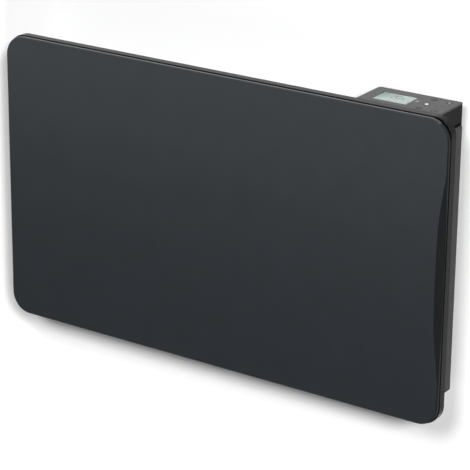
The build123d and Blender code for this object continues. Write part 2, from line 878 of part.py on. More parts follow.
# Power board in the wiring bay
bay_centre = (divider + case_right) / 2
board_back = inner_back + pcb_standoff
board_front = board_back + board_thickness
board_bottom = case_middle - pcb_height * pcb_drop_share
board_centre = board_bottom + pcb_height / 2
board_x = bay_centre + pcb_shift
post_side = pcb_width / 2 - pcb_post_inset
post_end = pcb_height / 2 - pcb_post_inset
pcb_posts = [(board_x + x * post_side, board_centre + z * post_end) for x in (-1, 1) for z in (-1, 1)]
with BuildPart() as power_board:
    with BuildSketch(from_wall(board_back)):
        with Locations((board_x, board_centre)):
            Rectangle(pcb_width, pcb_height)
        with Locations(*pcb_posts):
            Circle(m3_radius + hole_gap, mode=Mode.SUBTRACT)
    extrude(amount=board_thickness)
finish(power_board, "power_board")

# Nylon posts that snap into the board's corners
with BuildPart() as board_posts:
    with BuildSketch(from_wall(inner_back)):
        with Locations(*pcb_posts):
            Circle(pcb_post_radius)
    extrude(amount=pcb_standoff)
    with BuildSketch(from_wall(board_back)):
        with Locations(*pcb_posts):
            Circle(m3_radius)
    extrude(amount=board_thickness)
    with BuildSketch(from_wall(board_front)):
        with Locations(*pcb_posts):
            Circle(m3_radius * head_ratio)
    extrude(amount=head_height)
finish(board_posts, "board_posts")

board_left = board_x - pcb_width / 2
board_right = board_x + pcb_width / 2
board_top = board_centre + pcb_height / 2
relay_x = board_left + 2 * part_margin + relay_size[0] / 2
relay_level = board_top - 2 * pcb_post_inset - part_margin - relay_size[1] / 2
with BuildPart() as power_relays:
    with BuildSketch(from_wall(board_front)):
        with Locations(*[(relay_x, relay_level - n * (relay_size[1] + part_margin)) for n in (0, 1)]):
            Rectangle(relay_size[0], relay_size[1])
    extrude(amount=relay_size[2])
finish(power_relays, "power_relays")

supply_x = board_right - 2 * part_margin - supply_size[0] / 2
supply_level = board_top - 2 * pcb_post_inset - part_margin - supply_size[1] / 2
with BuildPart() as supply_module:
    with BuildSketch(from_wall(board_front)):
        with Locations((supply_x, supply_level)):
            RectangleRounded(supply_size[0], supply_size[1], supply_corner)
    extrude(amount=supply_size[2])
finish(supply_module, "supply_module")

terminal_level = board_bottom + 2 * pcb_post_inset + part_margin + terminal_size[1] / 2
with BuildPart() as terminal_block:
    with BuildSketch(from_wall(board_front)):
        with Locations((board_x, terminal_level)):
            Rectangle(terminal_size[0], terminal_size[1])
    extrude(amount=terminal_size[2])
    with BuildSketch(from_wall(board_front + terminal_size[2])):
        with Locations((board_x, terminal_level)):
            with GridLocations(terminal_size[0] / terminal_ways, 0, terminal_ways, 1):
                Circle(terminal_hole)
    extrude(amount=-terminal_size[2] / 2, mode=Mode.SUBTRACT)
finish(terminal_block, "terminal_block")

sink_x = board_right - 2 * part_margin - sink_size[0] / 2
sink_level = supply_level - supply_size[1] / 2 - part_margin - sink_size[1] / 2
fin_pitch = (sink_size[0] - sink_fin) / (sink_fins - 1)
with BuildPart() as heat_sink:
    with BuildSketch(from_wall(board_front)):
        with Locations((sink_x, sink_level)):
            Rectangle(sink_size[0], sink_size[1])
    extrude(amount=sink_base)
    with BuildSketch(from_wall(board_front + sink_base)):
        with Locations((sink_x, sink_level)):
            with GridLocations(fin_pitch, 0, sink_fins, 1):
                Rectangle(sink_fin, sink_size[1])
    extrude(amount=sink_size[2] - sink_base)
finish(heat_sink, "heat_sink")

# Cable gland in the casing's underside, with its locknut inside
gland_place = (gland_x, -mid_case_depth)
with BuildPart() as cable_gland:
    with BuildSketch(Plane.XY.offset(case_bottom)):
        with Locations(gland_place):
            RegularPolygon(gland_hex, 6)
    extrude(amount=-gland_hex_height)
    with BuildSketch(Plane.XY.offset(case_bottom - gland_hex_height)):
        with Locations(gland_place):
            Circle(gland_dome)
    extrude(amount=-gland_dome_height)
    fillet(cable_gland.faces().sort_by(Axis.Z)[0].edges(), gland_edge)
    with BuildSketch(Plane.XY.offset(case_bottom)):
        with Locations(gland_place):
            Circle(gland_thread)
    extrude(amount=case_sheet + gland_nut_height + case_sheet)
    with BuildSketch(Plane.XY.offset(case_bottom - gland_hex_height - gland_dome_height)):
        with Locations(gland_place):
            Circle(gland_bore)
    extrude(
        amount=gland_hex_height + gland_dome_height + gland_nut_height + 2 * case_sheet,
        mode=Mode.SUBTRACT,
    )
finish(cable_gland, "cable_gland")

with BuildPart() as gland_locknut:
    with BuildSketch(Plane.XY.offset(case_bottom + case_sheet)):
        with Locations(gland_place):
            RegularPolygon(gland_hex, 6)
            Circle(gland_thread + thread_gap, mode=Mode.SUBTRACT)
    extrude(amount=gland_nut_height)
finish(gland_locknut, "gland_locknut")

# Room sensor in its grommet, beside the gland
sensor_place = (sensor_x, -mid_case_depth)
with BuildPart() as sensor_grommet:
    for start, thickness, radius in (
        (case_bottom - grommet_flange, grommet_flange, grommet_radius),
        (case_bottom, case_sheet, grommet_radius - grommet_flange - thread_gap),
        (case_bottom + case_sheet, grommet_flange, grommet_radius),
    ):
        with BuildSketch(Plane.XY.offset(start)):
            with Locations(sensor_place):
                Circle(radius)
                Circle(sensor_radius + thread_gap, mode=Mode.SUBTRACT)
        extrude(amount=thickness)
finish(sensor_grommet, "sensor_grommet")

with BuildPart() as room_sensor:
    with BuildSketch(Plane.XY.offset(case_bottom - sensor_reach)):
        with Locations(sensor_place):
            Circle(sensor_radius)
    extrude(amount=sensor_length)
    fillet(room_sensor.faces().sort_by(Axis.Z)[0].edges(), sensor_edge)
finish(room_sensor, "room_sensor")

# Control box housing, on a neck that leaves a groove above the casing
switch_level = (box_bottom + box_wall + shell_top - fascia_thickness) / 2 - switch_step
post_lens_x = lens_x - lens_width * post_lens_share
post_key_x = key_column - key_column_pitch / 2
post_clearance = lens_height / 2 + module_border + m3_radius * head_ratio + post_gap
post_places = [(post_lens_x, control_y + side * post_clearance) for side in (-1, 1)]
post_places += [(post_key_x, control_y + side * key_row_pitch / 2) for side in (-1, 1)]
clip_lean = (fascia_thickness + clip_length) * sin(box_tilt)
clip_face = fascia_depth / 2 - box_wall - fit_gap - clip_lean
clip_places = [(share * box_width, side) for share in clip_shares for side in (-1, 1)]
catch_level = fascia_thickness + clip_length - 2 * clip_catch_height
board_underside = board_level + board_thickness
post_length = shell_top + box_rise / 2 - board_underside - box_bottom - box_wall / 2
with BuildPart() as control_housing:
    with BuildSketch(Plane.XY.offset(box_bottom)):
        with Locations((box_middle, -box_centre_depth)):
            Rectangle(box_width, box_depth)
    extrude(amount=shell_top + box_rise - box_bottom)
    rear_corners = control_housing.edges().filter_by(Axis.Z).group_by(Axis.Y)[-1].sort_by(Axis.X)
    fillet(rear_corners[0], box_left_corner)
    upright_edges = control_housing.edges().filter_by(Axis.Z)
    fillet(upright_edges.sort_by(lambda e: e.center().X + e.center().Y)[-1], box_right_corner)
    split(bisect_by=below_fascia(fascia_thickness), keep=Keep.BOTTOM)
    with BuildSketch(Plane.XY.offset(box_bottom + box_wall)):
        with Locations((box_middle, -box_centre_depth)):
            RectangleRounded(box_width - 2 * box_wall, box_depth - 2 * box_wall, box_wall)
    extrude(amount=shell_top + box_rise - box_bottom, mode=Mode.SUBTRACT)
    with BuildSketch(Plane.XY.offset(case_top)):
        with Locations((box_middle, -box_centre_depth)):
            Rectangle(box_width - 2 * neck_inset, box_depth - 2 * neck_inset)
            Rectangle(
                box_width - 2 * (neck_inset + box_wall),
                box_depth - 2 * (neck_inset + box_wall),
                mode=Mode.SUBTRACT,
            )
            with Locations(*box_screw_places):
                Circle(pillar_radius)
    extrude(amount=box_groove)
    with BuildSketch(below_fascia(board_underside)):
        with Locations(*post_places):
            Circle(pcb_post_radius)
    extrude(amount=-post_length)
    with BuildSketch(below_fascia(board_underside)):
        with Locations(*post_places):
            Circle(m3_radius + thread_gap)
    extrude(amount=-fixing_bite - fit_gap, mode=Mode.SUBTRACT)
    with BuildSketch(Plane.XY.offset(case_top)):
        with Locations((box_middle, -box_centre_depth)):
            with Locations(*box_screw_places):
                Circle(m4_radius + thread_gap)
    extrude(amount=box_groove + box_wall / 2, mode=Mode.SUBTRACT)
    with BuildSketch(Plane.XY.offset(box_bottom)):
        with Locations((box_middle, -box_centre_depth)):
            Rectangle(wire_hole_width, wire_hole_depth)
    extrude(amount=box_wall + overrun, mode=Mode.SUBTRACT)
    with BuildSketch(Plane.YZ.offset(box_left - overrun)):
        with Locations((-box_centre_depth, switch_level)):
            Rectangle(
                switch_length - 2 * switch_step + 2 * fit_gap,
                switch_height - 2 * switch_step + 2 * fit_gap,
            )
    extrude(amount=box_wall + 2 * overrun, mode=Mode.SUBTRACT)
    with BuildSketch(below_fascia(catch_level + clip_catch_height + fit_gap)):
        with Locations(*[(x, side * (clip_face + fit_gap)) for x, side in clip_places]):
            Rectangle(clip_width + 2 * fit_gap, 2 * (clip_catch + fit_gap / 2))
    extrude(amount=clip_catch_height + 2 * fit_gap, mode=Mode.SUBTRACT)
finish(control_housing, "control_housing")

with BuildPart() as box_screws:
    with BuildSketch(Plane.XY.offset(case_top - case_sheet)):
        with Locations((box_middle, -box_centre_depth)):
            with Locations(*box_screw_places):
                Circle(m4_radius * head_ratio)
    extrude(amount=-head_height)
    with BuildSketch(Plane.XY.offset(case_top - case_sheet)):
        with Locations((box_middle, -box_centre_depth)):
            with Locations(*box_screw_places):
                Circle(m4_radius)
    extrude(amount=case_sheet + box_groove)
finish(box_screws, "box_screws")

# Fascia: the control box's top, held by clips that hang inside the housing
with BuildPart() as control_fascia:
    with BuildSketch(below_fascia(fascia_thickness)):
        Rectangle(box_width, fascia_depth)
        fillet(vertices().group_by(Axis.Y)[-1].sort_by(Axis.X)[0], box_left_corner)
        fillet(vertices().sort_by(lambda v: v.X + v.Y)[-1], box_right_corner)
    extrude(amount=fascia_thickness)
    fillet(control_fascia.faces().sort_by(Axis.Z)[-1].edges(), fascia_edge)
    with BuildSketch(fascia_plane):
        with Locations((lens_x, control_y)):
            Rectangle(lens_width + 2 * fit_gap, lens_height + 2 * fit_gap)
        with Locations((light_x, light_y)):
            SlotOverall(light_length + 2 * fit_gap, light_width + 2 * fit_gap, rotation=90)
        with Locations(*key_places.values()):
            Circle(key_radius + key_gap)
    extrude(amount=-fascia_thickness - overrun, mode=Mode.SUBTRACT)
    with BuildSketch(below_fascia(fascia_thickness)):
        with Locations(*[(x, side * (clip_face - clip_wall / 2)) for x, side in clip_places]):
            Rectangle(clip_width, clip_wall)
    extrude(amount=-clip_length)
    with BuildSketch(below_fascia(catch_level)):
        with Locations(*[(x, side * (clip_face + clip_catch / 2)) for x, side in clip_places]):
            Rectangle(clip_width, clip_catch)
    extrude(amount=-clip_catch_height)
finish(control_fascia, "control_fascia")

# Display lens, flush with the fascia and flanged beneath it, and the module under it
with BuildPart() as display_lens:
    with BuildSketch(below_fascia(fascia_thickness)):
        with Locations((lens_x, control_y)):
            Rectangle(lens_width, lens_height)
    extrude(amount=fascia_thickness)
    with BuildSketch(below_fascia(fascia_thickness)):
        with Locations((lens_x, control_y)):
            Rectangle(lens_width + 2 * lens_flange, lens_height + 2 * lens_flange)
    extrude(amount=-lens_flange_depth)
finish(display_lens, "display_lens")

with BuildPart() as display_module:
    with BuildSketch(below_fascia(flange_level)):
        with Locations((lens_x, control_y)):
            Rectangle(lens_width + 2 * module_border, lens_height + 2 * module_border)
    extrude(amount=-module_depth)
finish(display_module, "display_module")

# Status light guide, from the fascia down to the control board
with BuildPart() as status_light:
    with BuildSketch(fascia_plane):
        with Locations((light_x, light_y)):
            SlotOverall(light_length, light_width, rotation=90)
    extrude(amount=-board_level)
    with BuildSketch(below_fascia(fascia_thickness)):
        with Locations((light_x, light_y)):
            SlotOverall(light_length + 2 * key_ear, light_width + 2 * key_ear, rotation=90)
    extrude(amount=-lens_flange_depth)
finish(status_light, "status_light")

# Control board on the housing's posts, with its screws and key switches
control_left = box_left + switch_body_depth + 2 * board_gap
control_right = box_right - box_wall - board_gap
with BuildPart() as control_board:
    with BuildSketch(below_fascia(board_underside)):
        with Locations(((control_left + control_right) / 2 - box_middle, 0)):
            Rectangle(control_right - control_left, fascia_depth - 2 * (box_wall + board_gap))
        with Locations(*post_places):
            Circle(m3_radius + hole_gap, mode=Mode.SUBTRACT)
    extrude(amount=board_thickness)
finish(control_board, "control_board")

with BuildPart() as board_screws:
    with BuildSketch(below_fascia(board_level)):
        with Locations(*post_places):
            Circle(m3_radius * head_ratio)
    extrude(amount=head_height)
    with BuildSketch(below_fascia(board_level)):
        with Locations(*post_places):
            Circle(m3_radius)
    extrude(amount=-board_thickness - fixing_bite)
finish(board_screws, "board_screws")

with BuildPart() as tact_switches:
    with BuildSketch(below_fascia(board_level)):
        with Locations(*key_places.values()):
            Rectangle(tact_side, tact_side)
    extrude(amount=tact_height - tact_button)
    with BuildSketch(below_fascia(board_level - tact_height + tact_button)):
        with Locations(*key_places.values()):
            Circle(tact_button_radius)
    extrude(amount=tact_button)
finish(tact_switches, "tact_switches")

# Keys: round caps flush with the fascia, with two ears beneath it
for name, place in key_places.items():
    with BuildPart() as key:
        with BuildSketch(fascia_plane):
            with Locations(place):
                Circle(key_radius)
        extrude(amount=-key_height)
        with BuildSketch(below_fascia(fascia_thickness + key_gap)):
            with Locations(place):
                Rectangle(2 * (key_radius + key_gap + key_ear), key_radius)
        extrude(amount=-key_ear)
    finish(key, name)

# Mains switch on the box's left side: its body, and a rocker that tips about a vertical pin
rocker_x = box_left - switch_bezel + rocker_pivot_depth
cavity_half = rocker_half + rocker_play
cavity_depth = rocker_pivot_depth + rocker_base + rocker_play
cavity_height = 2 * (rocker_half_height + rocker_side_gap)
switch_end = box_left + switch_body_depth
with BuildPart() as switch_body:
    with BuildSketch(Plane.YZ.offset(box_left)):
        with Locations((-box_centre_depth, switch_level)):
            RectangleRounded(switch_length, switch_height, switch_bezel)
    extrude(amount=-switch_bezel)
    with BuildSketch(Plane.YZ.offset(box_left)):
        with Locations((-box_centre_depth, switch_level)):
            Rectangle(switch_length - 2 * switch_step, switch_height - 2 * switch_step)
    extrude(amount=switch_body_depth)
    with BuildSketch(Plane.YZ.offset(box_left - switch_bezel)):
        with Locations((-box_centre_depth, switch_level)):
            Rectangle(2 * cavity_half, cavity_height)
    extrude(amount=cavity_depth, mode=Mode.SUBTRACT)
    with BuildSketch(Plane.XY.offset(switch_level)):
        with Locations((rocker_x, -box_centre_depth)):
            Circle(rocker_pin + rocker_pin_gap)
    extrude(
        amount=rocker_half_height + rocker_pin_length + rocker_pin_gap,
        both=True,
        mode=Mode.SUBTRACT,
    )
    with BuildSketch(Plane.YZ.offset(switch_end)):
        with Locations((-box_centre_depth, switch_level)):
            with GridLocations(switch_length / 2, 0, 2, 1):
                Rectangle(blade_thickness, blade_width)
    extrude(amount=blade_length)
finish(switch_body, "switch_body")

rocker_crest = rocker_valley + rocker_half * tan(radians(rocker_swing / 2))
rocker_plane = Plane(
    origin=(rocker_x, -box_centre_depth, switch_level),
    x_dir=(sin(radians(rocker_swing / 2)), cos(radians(rocker_swing / 2)), 0),
    z_dir=(0, 0, 1),
)
with BuildPart() as switch_rocker:
    with BuildSketch(rocker_plane):
        with BuildLine():
            Polyline(
                (-rocker_half, rocker_crest),
                (0, rocker_valley),
                (rocker_half, rocker_crest),
                (rocker_half, -rocker_root),
                (rocker_base_half, -rocker_base),
                (-rocker_base_half, -rocker_base),
                (-rocker_half, -rocker_root),
                close=True,
            )
        make_face()
    extrude(amount=rocker_half_height, both=True)
    with BuildSketch(rocker_plane):
        Circle(rocker_pin)
    extrude(amount=rocker_half_height + rocker_pin_length, both=True)
finish(switch_rocker, "switch_rocker")

# Bracket arms: steel channels screwed to the wall, with a hook below and a latch tab above
arm_front = case_back - arm_reach_gap
hook_front = inner_back + hook_side_gap
tab_front = latch_axis_depth + latch_head_radius
for side, x in arm_xs.items():
    with BuildPart() as arm:
        with BuildSketch(Plane.XY.offset(-arm_top)):
            with Locations((x, -arm_front / 2)):
                Rectangle(arm_width, arm_front)
            with Locations((x, -(arm_sheet + arm_front + overrun) / 2)):
                Rectangle(arm_width - 2 * arm_sheet, arm_front + overrun - arm_sheet, mode=Mode.SUBTRACT)
        extrude(amount=arm_height)
        with BuildSketch(from_wall(0)):
            with GridLocations(0, hole_spacing, 1, 2):
                with Locations((x, 0)):
                    Circle(wall_hole_radius)
        extrude(amount=arm_sheet + overrun, mode=Mode.SUBTRACT)
        with BuildSketch(Plane.YZ.offset(x - hook_thickness / 2)):
            with BuildLine():
                Polyline(
                    (-arm_sheet, hook_bottom),
                    (-hook_front - hook_tip_width, hook_bottom),
                    (-hook_front - hook_tip_width, hook_seat + hook_tip),
                    (-hook_front, hook_seat + hook_tip),
                    (-hook_front, hook_seat),
                    (-arm_sheet, hook_seat),
                    close=True,
                )
            make_face()
        extrude(amount=hook_thickness)
        with BuildSketch(Plane.XY.offset(latch_tab_bottom)):
            with Locations((x, -(arm_sheet + tab_front) / 2)):
                Rectangle(arm_width - 2 * arm_sheet, tab_front - arm_sheet)
            with Locations((x, -latch_axis_depth)):
                Circle(latch_radius + latch_bore_gap, mode=Mode.SUBTRACT)
        extrude(amount=arm_sheet)
    finish(arm, f"bracket_arm_{side}")

# Flat bars welded between the arms
bar_reach = arm_spacing / 2 - arm_width / 2
for name, level in (("lower", -bar_spacing / 2), ("upper", bar_spacing / 2)):
    with BuildPart() as bar:
        with BuildSketch(from_wall(0)):
            with Locations((0, level)):
                Rectangle(2 * bar_reach, bar_height)
        extrude(amount=bar_sheet)
    finish(bar, f"bracket_bar_{name}")

# Latches: claws that turn about upright pins and grip the casing's back from inside
claw_wedge = 2 * claw_outer
for side, x in arm_xs.items():
    with BuildPart() as latch:
        with BuildSketch(Plane.XY.offset(claw_bottom)):
            with Locations((x, -latch_axis_depth)):
                Circle(claw_outer)
                Circle(claw_inner, mode=Mode.SUBTRACT)
                Polygon(
                    (0, 0),
                    *[(claw_wedge * sin(radians(a)), -claw_wedge * cos(radians(a)))
                      for a in (claw_tip_angle, 0, claw_heel_angle)],
                    align=None,
                    mode=Mode.INTERSECT,
                )
                Rectangle(
                    claw_arm,
                    (claw_inner + claw_outer) / 2,
                    rotation=claw_arm_angle,
                    align=(Align.CENTER, Align.MAX),
                )
                Circle(latch_head_radius)
        extrude(amount=claw_height)
        with BuildSketch(Plane.XY.offset(claw_top)):
            with Locations((x, -latch_axis_depth)):
                Circle(latch_radius)
        extrude(amount=2 * seat_gap + arm_sheet)
        with BuildSketch(Plane.XY.offset(latch_tab_top + seat_gap)):
            with Locations((x, -latch_axis_depth)):
                Circle(latch_head_radius)
        extrude(amount=latch_head_height)
        with BuildSketch(Plane.XY.offset(latch_tab_top + seat_gap + latch_head_height)):
            with Locations((x, -latch_axis_depth)):
                Rectangle(2 * latch_head_radius + overrun, latch_driver_slot)
        extrude(amount=-latch_head_height / 2, mode=Mode.SUBTRACT)
    finish(latch, f"bracket_latch_{side}")
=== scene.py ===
# %% [markdown]
# An electric storage radiator, dressed for its portrait.
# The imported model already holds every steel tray, brick and key at its real size, so this
# lesson is about finishes, light and the few things that are printed rather than built.
# Everything is in metres, in the model's own frame: the wall is at Y = 0, the room is towards
# -Y, and Z is up.

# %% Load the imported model
import json
import math

import bmesh
import bpy
from mathutils import Matrix, Vector


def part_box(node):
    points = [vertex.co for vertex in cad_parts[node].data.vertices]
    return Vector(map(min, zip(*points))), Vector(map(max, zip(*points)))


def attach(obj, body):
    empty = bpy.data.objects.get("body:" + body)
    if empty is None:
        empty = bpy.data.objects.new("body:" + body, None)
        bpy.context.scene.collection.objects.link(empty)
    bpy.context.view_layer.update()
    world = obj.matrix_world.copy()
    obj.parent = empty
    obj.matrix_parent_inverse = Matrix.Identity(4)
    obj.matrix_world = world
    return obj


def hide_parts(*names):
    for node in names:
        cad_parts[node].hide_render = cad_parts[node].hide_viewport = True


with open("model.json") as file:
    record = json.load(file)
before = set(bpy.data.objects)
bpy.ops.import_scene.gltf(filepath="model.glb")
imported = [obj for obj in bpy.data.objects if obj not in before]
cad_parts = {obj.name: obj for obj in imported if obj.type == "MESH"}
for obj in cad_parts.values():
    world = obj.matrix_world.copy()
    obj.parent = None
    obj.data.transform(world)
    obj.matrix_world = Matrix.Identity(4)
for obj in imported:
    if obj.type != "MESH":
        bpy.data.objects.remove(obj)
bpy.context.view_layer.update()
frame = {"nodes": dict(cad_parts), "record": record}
nodes = frame["nodes"]
scene = bpy.context.scene
scene.view_settings.view_transform = "Standard"
mm = 0.001

# %% [markdown]
# The camera stands where the photographer stood: to the right of the radiator and above it,
# far away behind a long lens, which keeps the panel's edges nearly parallel. The angles and the
# distance come from lining up the panel's four corners. The tiny shift puts the lens's axis on
# the photograph's middle pixel.

# %% Place the camera
view_azimuth = math.radians(34.27)
view_elevation = math.radians(20.07)
view_roll = math.radians(0.583)
view_distance = 3.227
aim = Vector((0.0025, -0.108, 0))
slide_right = 0.032
slide_down = 0.0168
frame_pixels = 470
focal_pixels = 2185
half_pixel = 0.5
sensor_width = 36

camera_back = Vector((
    math.sin(view_azimuth) * math.cos(view_elevation),
    -math.cos(view_azimuth) * math.cos(view_elevation),
    math.sin(view_elevation),
))
level_right = (-camera_back).cross(Vector((0, 0, 1))).normalized()
level_up = level_right.cross(-camera_back)
camera_right = level_right * math.cos(view_roll) + level_up * math.sin(view_roll)
camera_up = level_up * math.cos(view_roll) - level_right * math.sin(view_roll)
camera_data = bpy.data.cameras.new("portrait_camera")
camera_data.sensor_width = sensor_width
camera_data.lens = focal_pixels * sensor_width / frame_pixels
camera_data.shift_x = -half_pixel / frame_pixels
camera_data.shift_y = half_pixel / frame_pixels
camera = bpy.data.objects.new("portrait_camera", camera_data)
scene.collection.objects.link(camera)
turn = Matrix((camera_right, camera_up, camera_back)).transposed().to_4x4()
place = aim + slide_right * camera_right - slide_down * camera_up + view_distance * camera_back
camera.matrix_world = Matrix.Translation(place) @ turn
scene.camera = camera
print("camera at", tuple(round(v, 3) for v in place), "lens", round(camera_data.lens, 1))

# %% [markdown]
# The object is finished by node trees, one for each material. These small helpers keep the
# trees short: one makes a material and hands over its shader and its Object coordinates, the
# others add a noise, a blend between two colours, and a bump. Object coordinates are metres on
# the finished piece, so a grain of 0.4 mm is written as 0.4 mm.

# %% Helpers for materials
def start_material(name):
    """A new material with its tree, its shader and its Object coordinates."""
    material = bpy.data.materials.new(name)
    material.use_nodes = True
    tree = material.node_tree
    shader = tree.nodes["Principled BSDF"]
    coordinates = tree.nodes.new("ShaderNodeTexCoord").outputs["Object"]
    return material, tree, shader, coordinates


def add_noise(tree, coordinates, size, detail=3.0, stretch=None):
    """Noise whose grains are about size metres across, drawn out along an axis by stretch."""
    noise = tree.nodes.new("ShaderNodeTexNoise")
    noise.inputs["Scale"].default_value = 1 / size
    noise.inputs["Detail"].default_value = detail
    if stretch:
        mapping = tree.nodes.new("ShaderNodeMapping")
        mapping.inputs["Scale"].default_value = stretch
        tree.links.new(coordinates, mapping.inputs["Vector"])
        coordinates = mapping.outputs["Vector"]
    tree.links.new(coordinates, noise.inputs["Vector"])
    return noise.outputs["Fac"]


def blend_colours(tree, factor, low, high, start=0.35, end=0.65):
    """A colour that goes from low to high as factor goes from start to end."""
    ramp = tree.nodes.new("ShaderNodeValToRGB")
    ramp.color_ramp.elements[0].position = start
    ramp.color_ramp.elements[1].position = end
    ramp.color_ramp.elements[0].color = (*low, 1)
    ramp.color_ramp.elements[1].color = (*high, 1)
    tree.links.new(factor, ramp.inputs["Fac"])
    return ramp.outputs["Color"]


def spread_value(tree, factor, low, high):
    """A number that goes from low to high with factor, for roughness."""
    spread = tree.nodes.new("ShaderNodeMapRange")
    spread.inputs["To Min"].default_value = low
    spread.inputs["To Max"].default_value = high
    tree.links.new(factor, spread.inputs["Value"])
    return spread.outputs["Result"]


def add_bump(tree, shader, height, depth, strength):
    """Tilts the shader's normal by a height field that is depth metres deep."""
    bump = tree.nodes.new("ShaderNodeBump")
    bump.inputs["Distance"].default_value = depth
    bump.inputs["Strength"].default_value = strength
    tree.links.new(height, bump.inputs["Height"])
    tree.links.new(bump.outputs["Normal"], shader.inputs["Normal"])


def shade(colour, factor):
    """The same colour, lighter or darker."""
    return tuple(channel * factor for channel in colour)


# %% [markdown]
# Nearly all that shows is powder coat: steel baked with a skin of fine polyester grains. Real
# powder coat has two scales at once, an orange peel of a few millimetres that bends highlights,
# and a grain under a millimetre that softens them. The front panel has the smoothest skin and
# the casing the coarsest, so one function takes both scales as inputs.

# %% Powder-coated steel
mottle_size = 35 * mm
mottle_change = 0.06
gloss_change = 0.05
grain_share = 0.25
paint_relief = 0.02 * mm


def powder_coat(name, colour, roughness, grain, peel, specular):
    """Baked paint: a fine grain in the gloss, a wide orange peel, and a faint mottle."""
    material, tree, shader, coordinates = start_material(name)
    mottle = add_noise(tree, coordinates, mottle_size)
    darker, lighter = shade(colour, 1 - mottle_change), shade(colour, 1 + mottle_change)
    tree.links.new(blend_colours(tree, mottle, darker, lighter), shader.inputs["Base Color"])
    fine = add_noise(tree, coordinates, grain)
    tree.links.new(
        spread_value(tree, fine, roughness - gloss_change, roughness + gloss_change),
        shader.inputs["Roughness"],
    )
    shader.inputs["Specular IOR Level"].default_value = specular
    wide = add_noise(tree, coordinates, peel, detail=1.0)
    total = tree.nodes.new("ShaderNodeMath")
    total.operation = "MULTIPLY_ADD"
    total.inputs[1].default_value = grain_share
    tree.links.new(fine, total.inputs[0])
    tree.links.new(wide, total.inputs[2])
    add_bump(tree, shader, total.outputs[0], paint_relief, strength=0.5)
    return material


materials = {}
for name, colour, roughness, grain, peel, specular in (
    ("panel_paint", (0.0160, 0.0200, 0.0240), 0.28, 0.5, 6, 0.45),
    ("shell_paint", (0.0018, 0.0020, 0.0026), 0.20, 0.4, 4, 0.08),
    ("casing_paint", (0.026, 0.026, 0.027), 0.50, 0.6, 3, 0.22),
    ("bracket_steel", (0.050, 0.050, 0.055), 0.50, 0.6, 3, 0.50),
    ("radiant_black", (0.012, 0.012, 0.012), 0.85, 0.8, 5, 0.50),
):
    materials[name] = powder_coat(name, colour, roughness, grain * mm, peel * mm, specular)
print("powder coats:", ", ".join(materials))

# %% [markdown]
# The control box, its keys and the connectors are injection-moulded. The tool is spark-eroded,
# which leaves tiny round pits: a Voronoi pattern gives those, with its cells well under a
# millimetre. A glossy moulding is the same function with shallow pits and a low roughness.

# %% Moulded plastics
flow_size = 12 * mm
flow_change = 0.05
flow_gloss_change = 0.03


def moulding(name, colour, roughness, pit, depth, specular=0.5):
    """Moulded plastic with the pits of an eroded tool."""
    material, tree, shader, coordinates = start_material(name)
    pits = tree.nodes.new("ShaderNodeTexVoronoi")
    pits.inputs["Scale"].default_value = 1 / pit
    tree.links.new(coordinates, pits.inputs["Vector"])
    flow = add_noise(tree, coordinates, flow_size)
    darker, lighter = shade(colour, 1 - flow_change), shade(colour, 1 + flow_change)
    tree.links.new(blend_colours(tree, flow, darker, lighter), shader.inputs["Base Color"])
    tree.links.new(
        spread_value(tree, flow, roughness - flow_gloss_change, roughness + flow_gloss_change),
        shader.inputs["Roughness"],
    )
    shader.inputs["Specular IOR Level"].default_value = specular
    add_bump(tree, shader, pits.outputs["Distance"], depth, strength=0.4)
    return material


for name, colour, roughness, pit, depth, specular in (
    ("box_plastic", (0.0040, 0.0041, 0.0043), 0.50, 0.5, 0.02, 0.07),
    ("fascia_plastic", (0.0180, 0.0184, 0.0190), 0.36, 0.5, 0.02, 0.40),
    ("key_plastic", (0.0150, 0.0153, 0.0157), 0.50, 0.5, 0.02, 0.30),
    ("switch_black", (0.012, 0.012, 0.012), 0.30, 0.6, 0.01, 0.50),
    ("rocker_plastic", (0.018, 0.018, 0.018), 0.22, 0.8, 0.01, 0.50),
    ("gland_nylon", (0.022, 0.022, 0.023), 0.45, 0.5, 0.02, 0.50),
    ("board_nylon", (0.72, 0.72, 0.67), 0.40, 0.6, 0.01, 0.50),
    ("relay_case", (0.02, 0.07, 0.20), 0.30, 0.5, 0.01, 0.50),
    ("supply_case", (0.02, 0.02, 0.02), 0.35, 0.5, 0.02, 0.50),
    ("terminal_green", (0.06, 0.28, 0.11), 0.40, 0.5, 0.01, 0.50),
    ("tact_body", (0.03, 0.03, 0.03), 0.40, 0.4, 0.01, 0.50),
    ("light_guide", (0.170, 0.175, 0.175), 0.25, 0.5, 0.005, 0.50),
    ("grommet_rubber", (0.018, 0.018, 0.018), 0.75, 0.4, 0.02, 0.50),
    ("display_body", (0.45, 0.50, 0.48), 0.30, 0.5, 0.005, 0.50),
):
    materials[name] = moulding(name, colour, roughness, pit * mm, depth * mm, specular)
print("mouldings added; finishes so far:", len(materials))

# %% [markdown]
# The steel inside and behind is galvanised. Zinc freezes in flat crystals, each with its own
# sheen, so a Voronoi pattern picks a roughness and a grey for every crystal. Rolled or drawn
# steel has no crystals: a noise stretched along one axis gives the marks of the rolls.

# %% Bare metals
crystal_dark, crystal_light = 0.86, 1.08
crystal_smoother, crystal_rougher = 0.08, 0.1
mark_spacing = 1.5 * mm
mark_relief = 0.01 * mm
mark_dark, mark_light = 0.88, 1.06
mark_smoother, mark_rougher = 0.06, 0.08


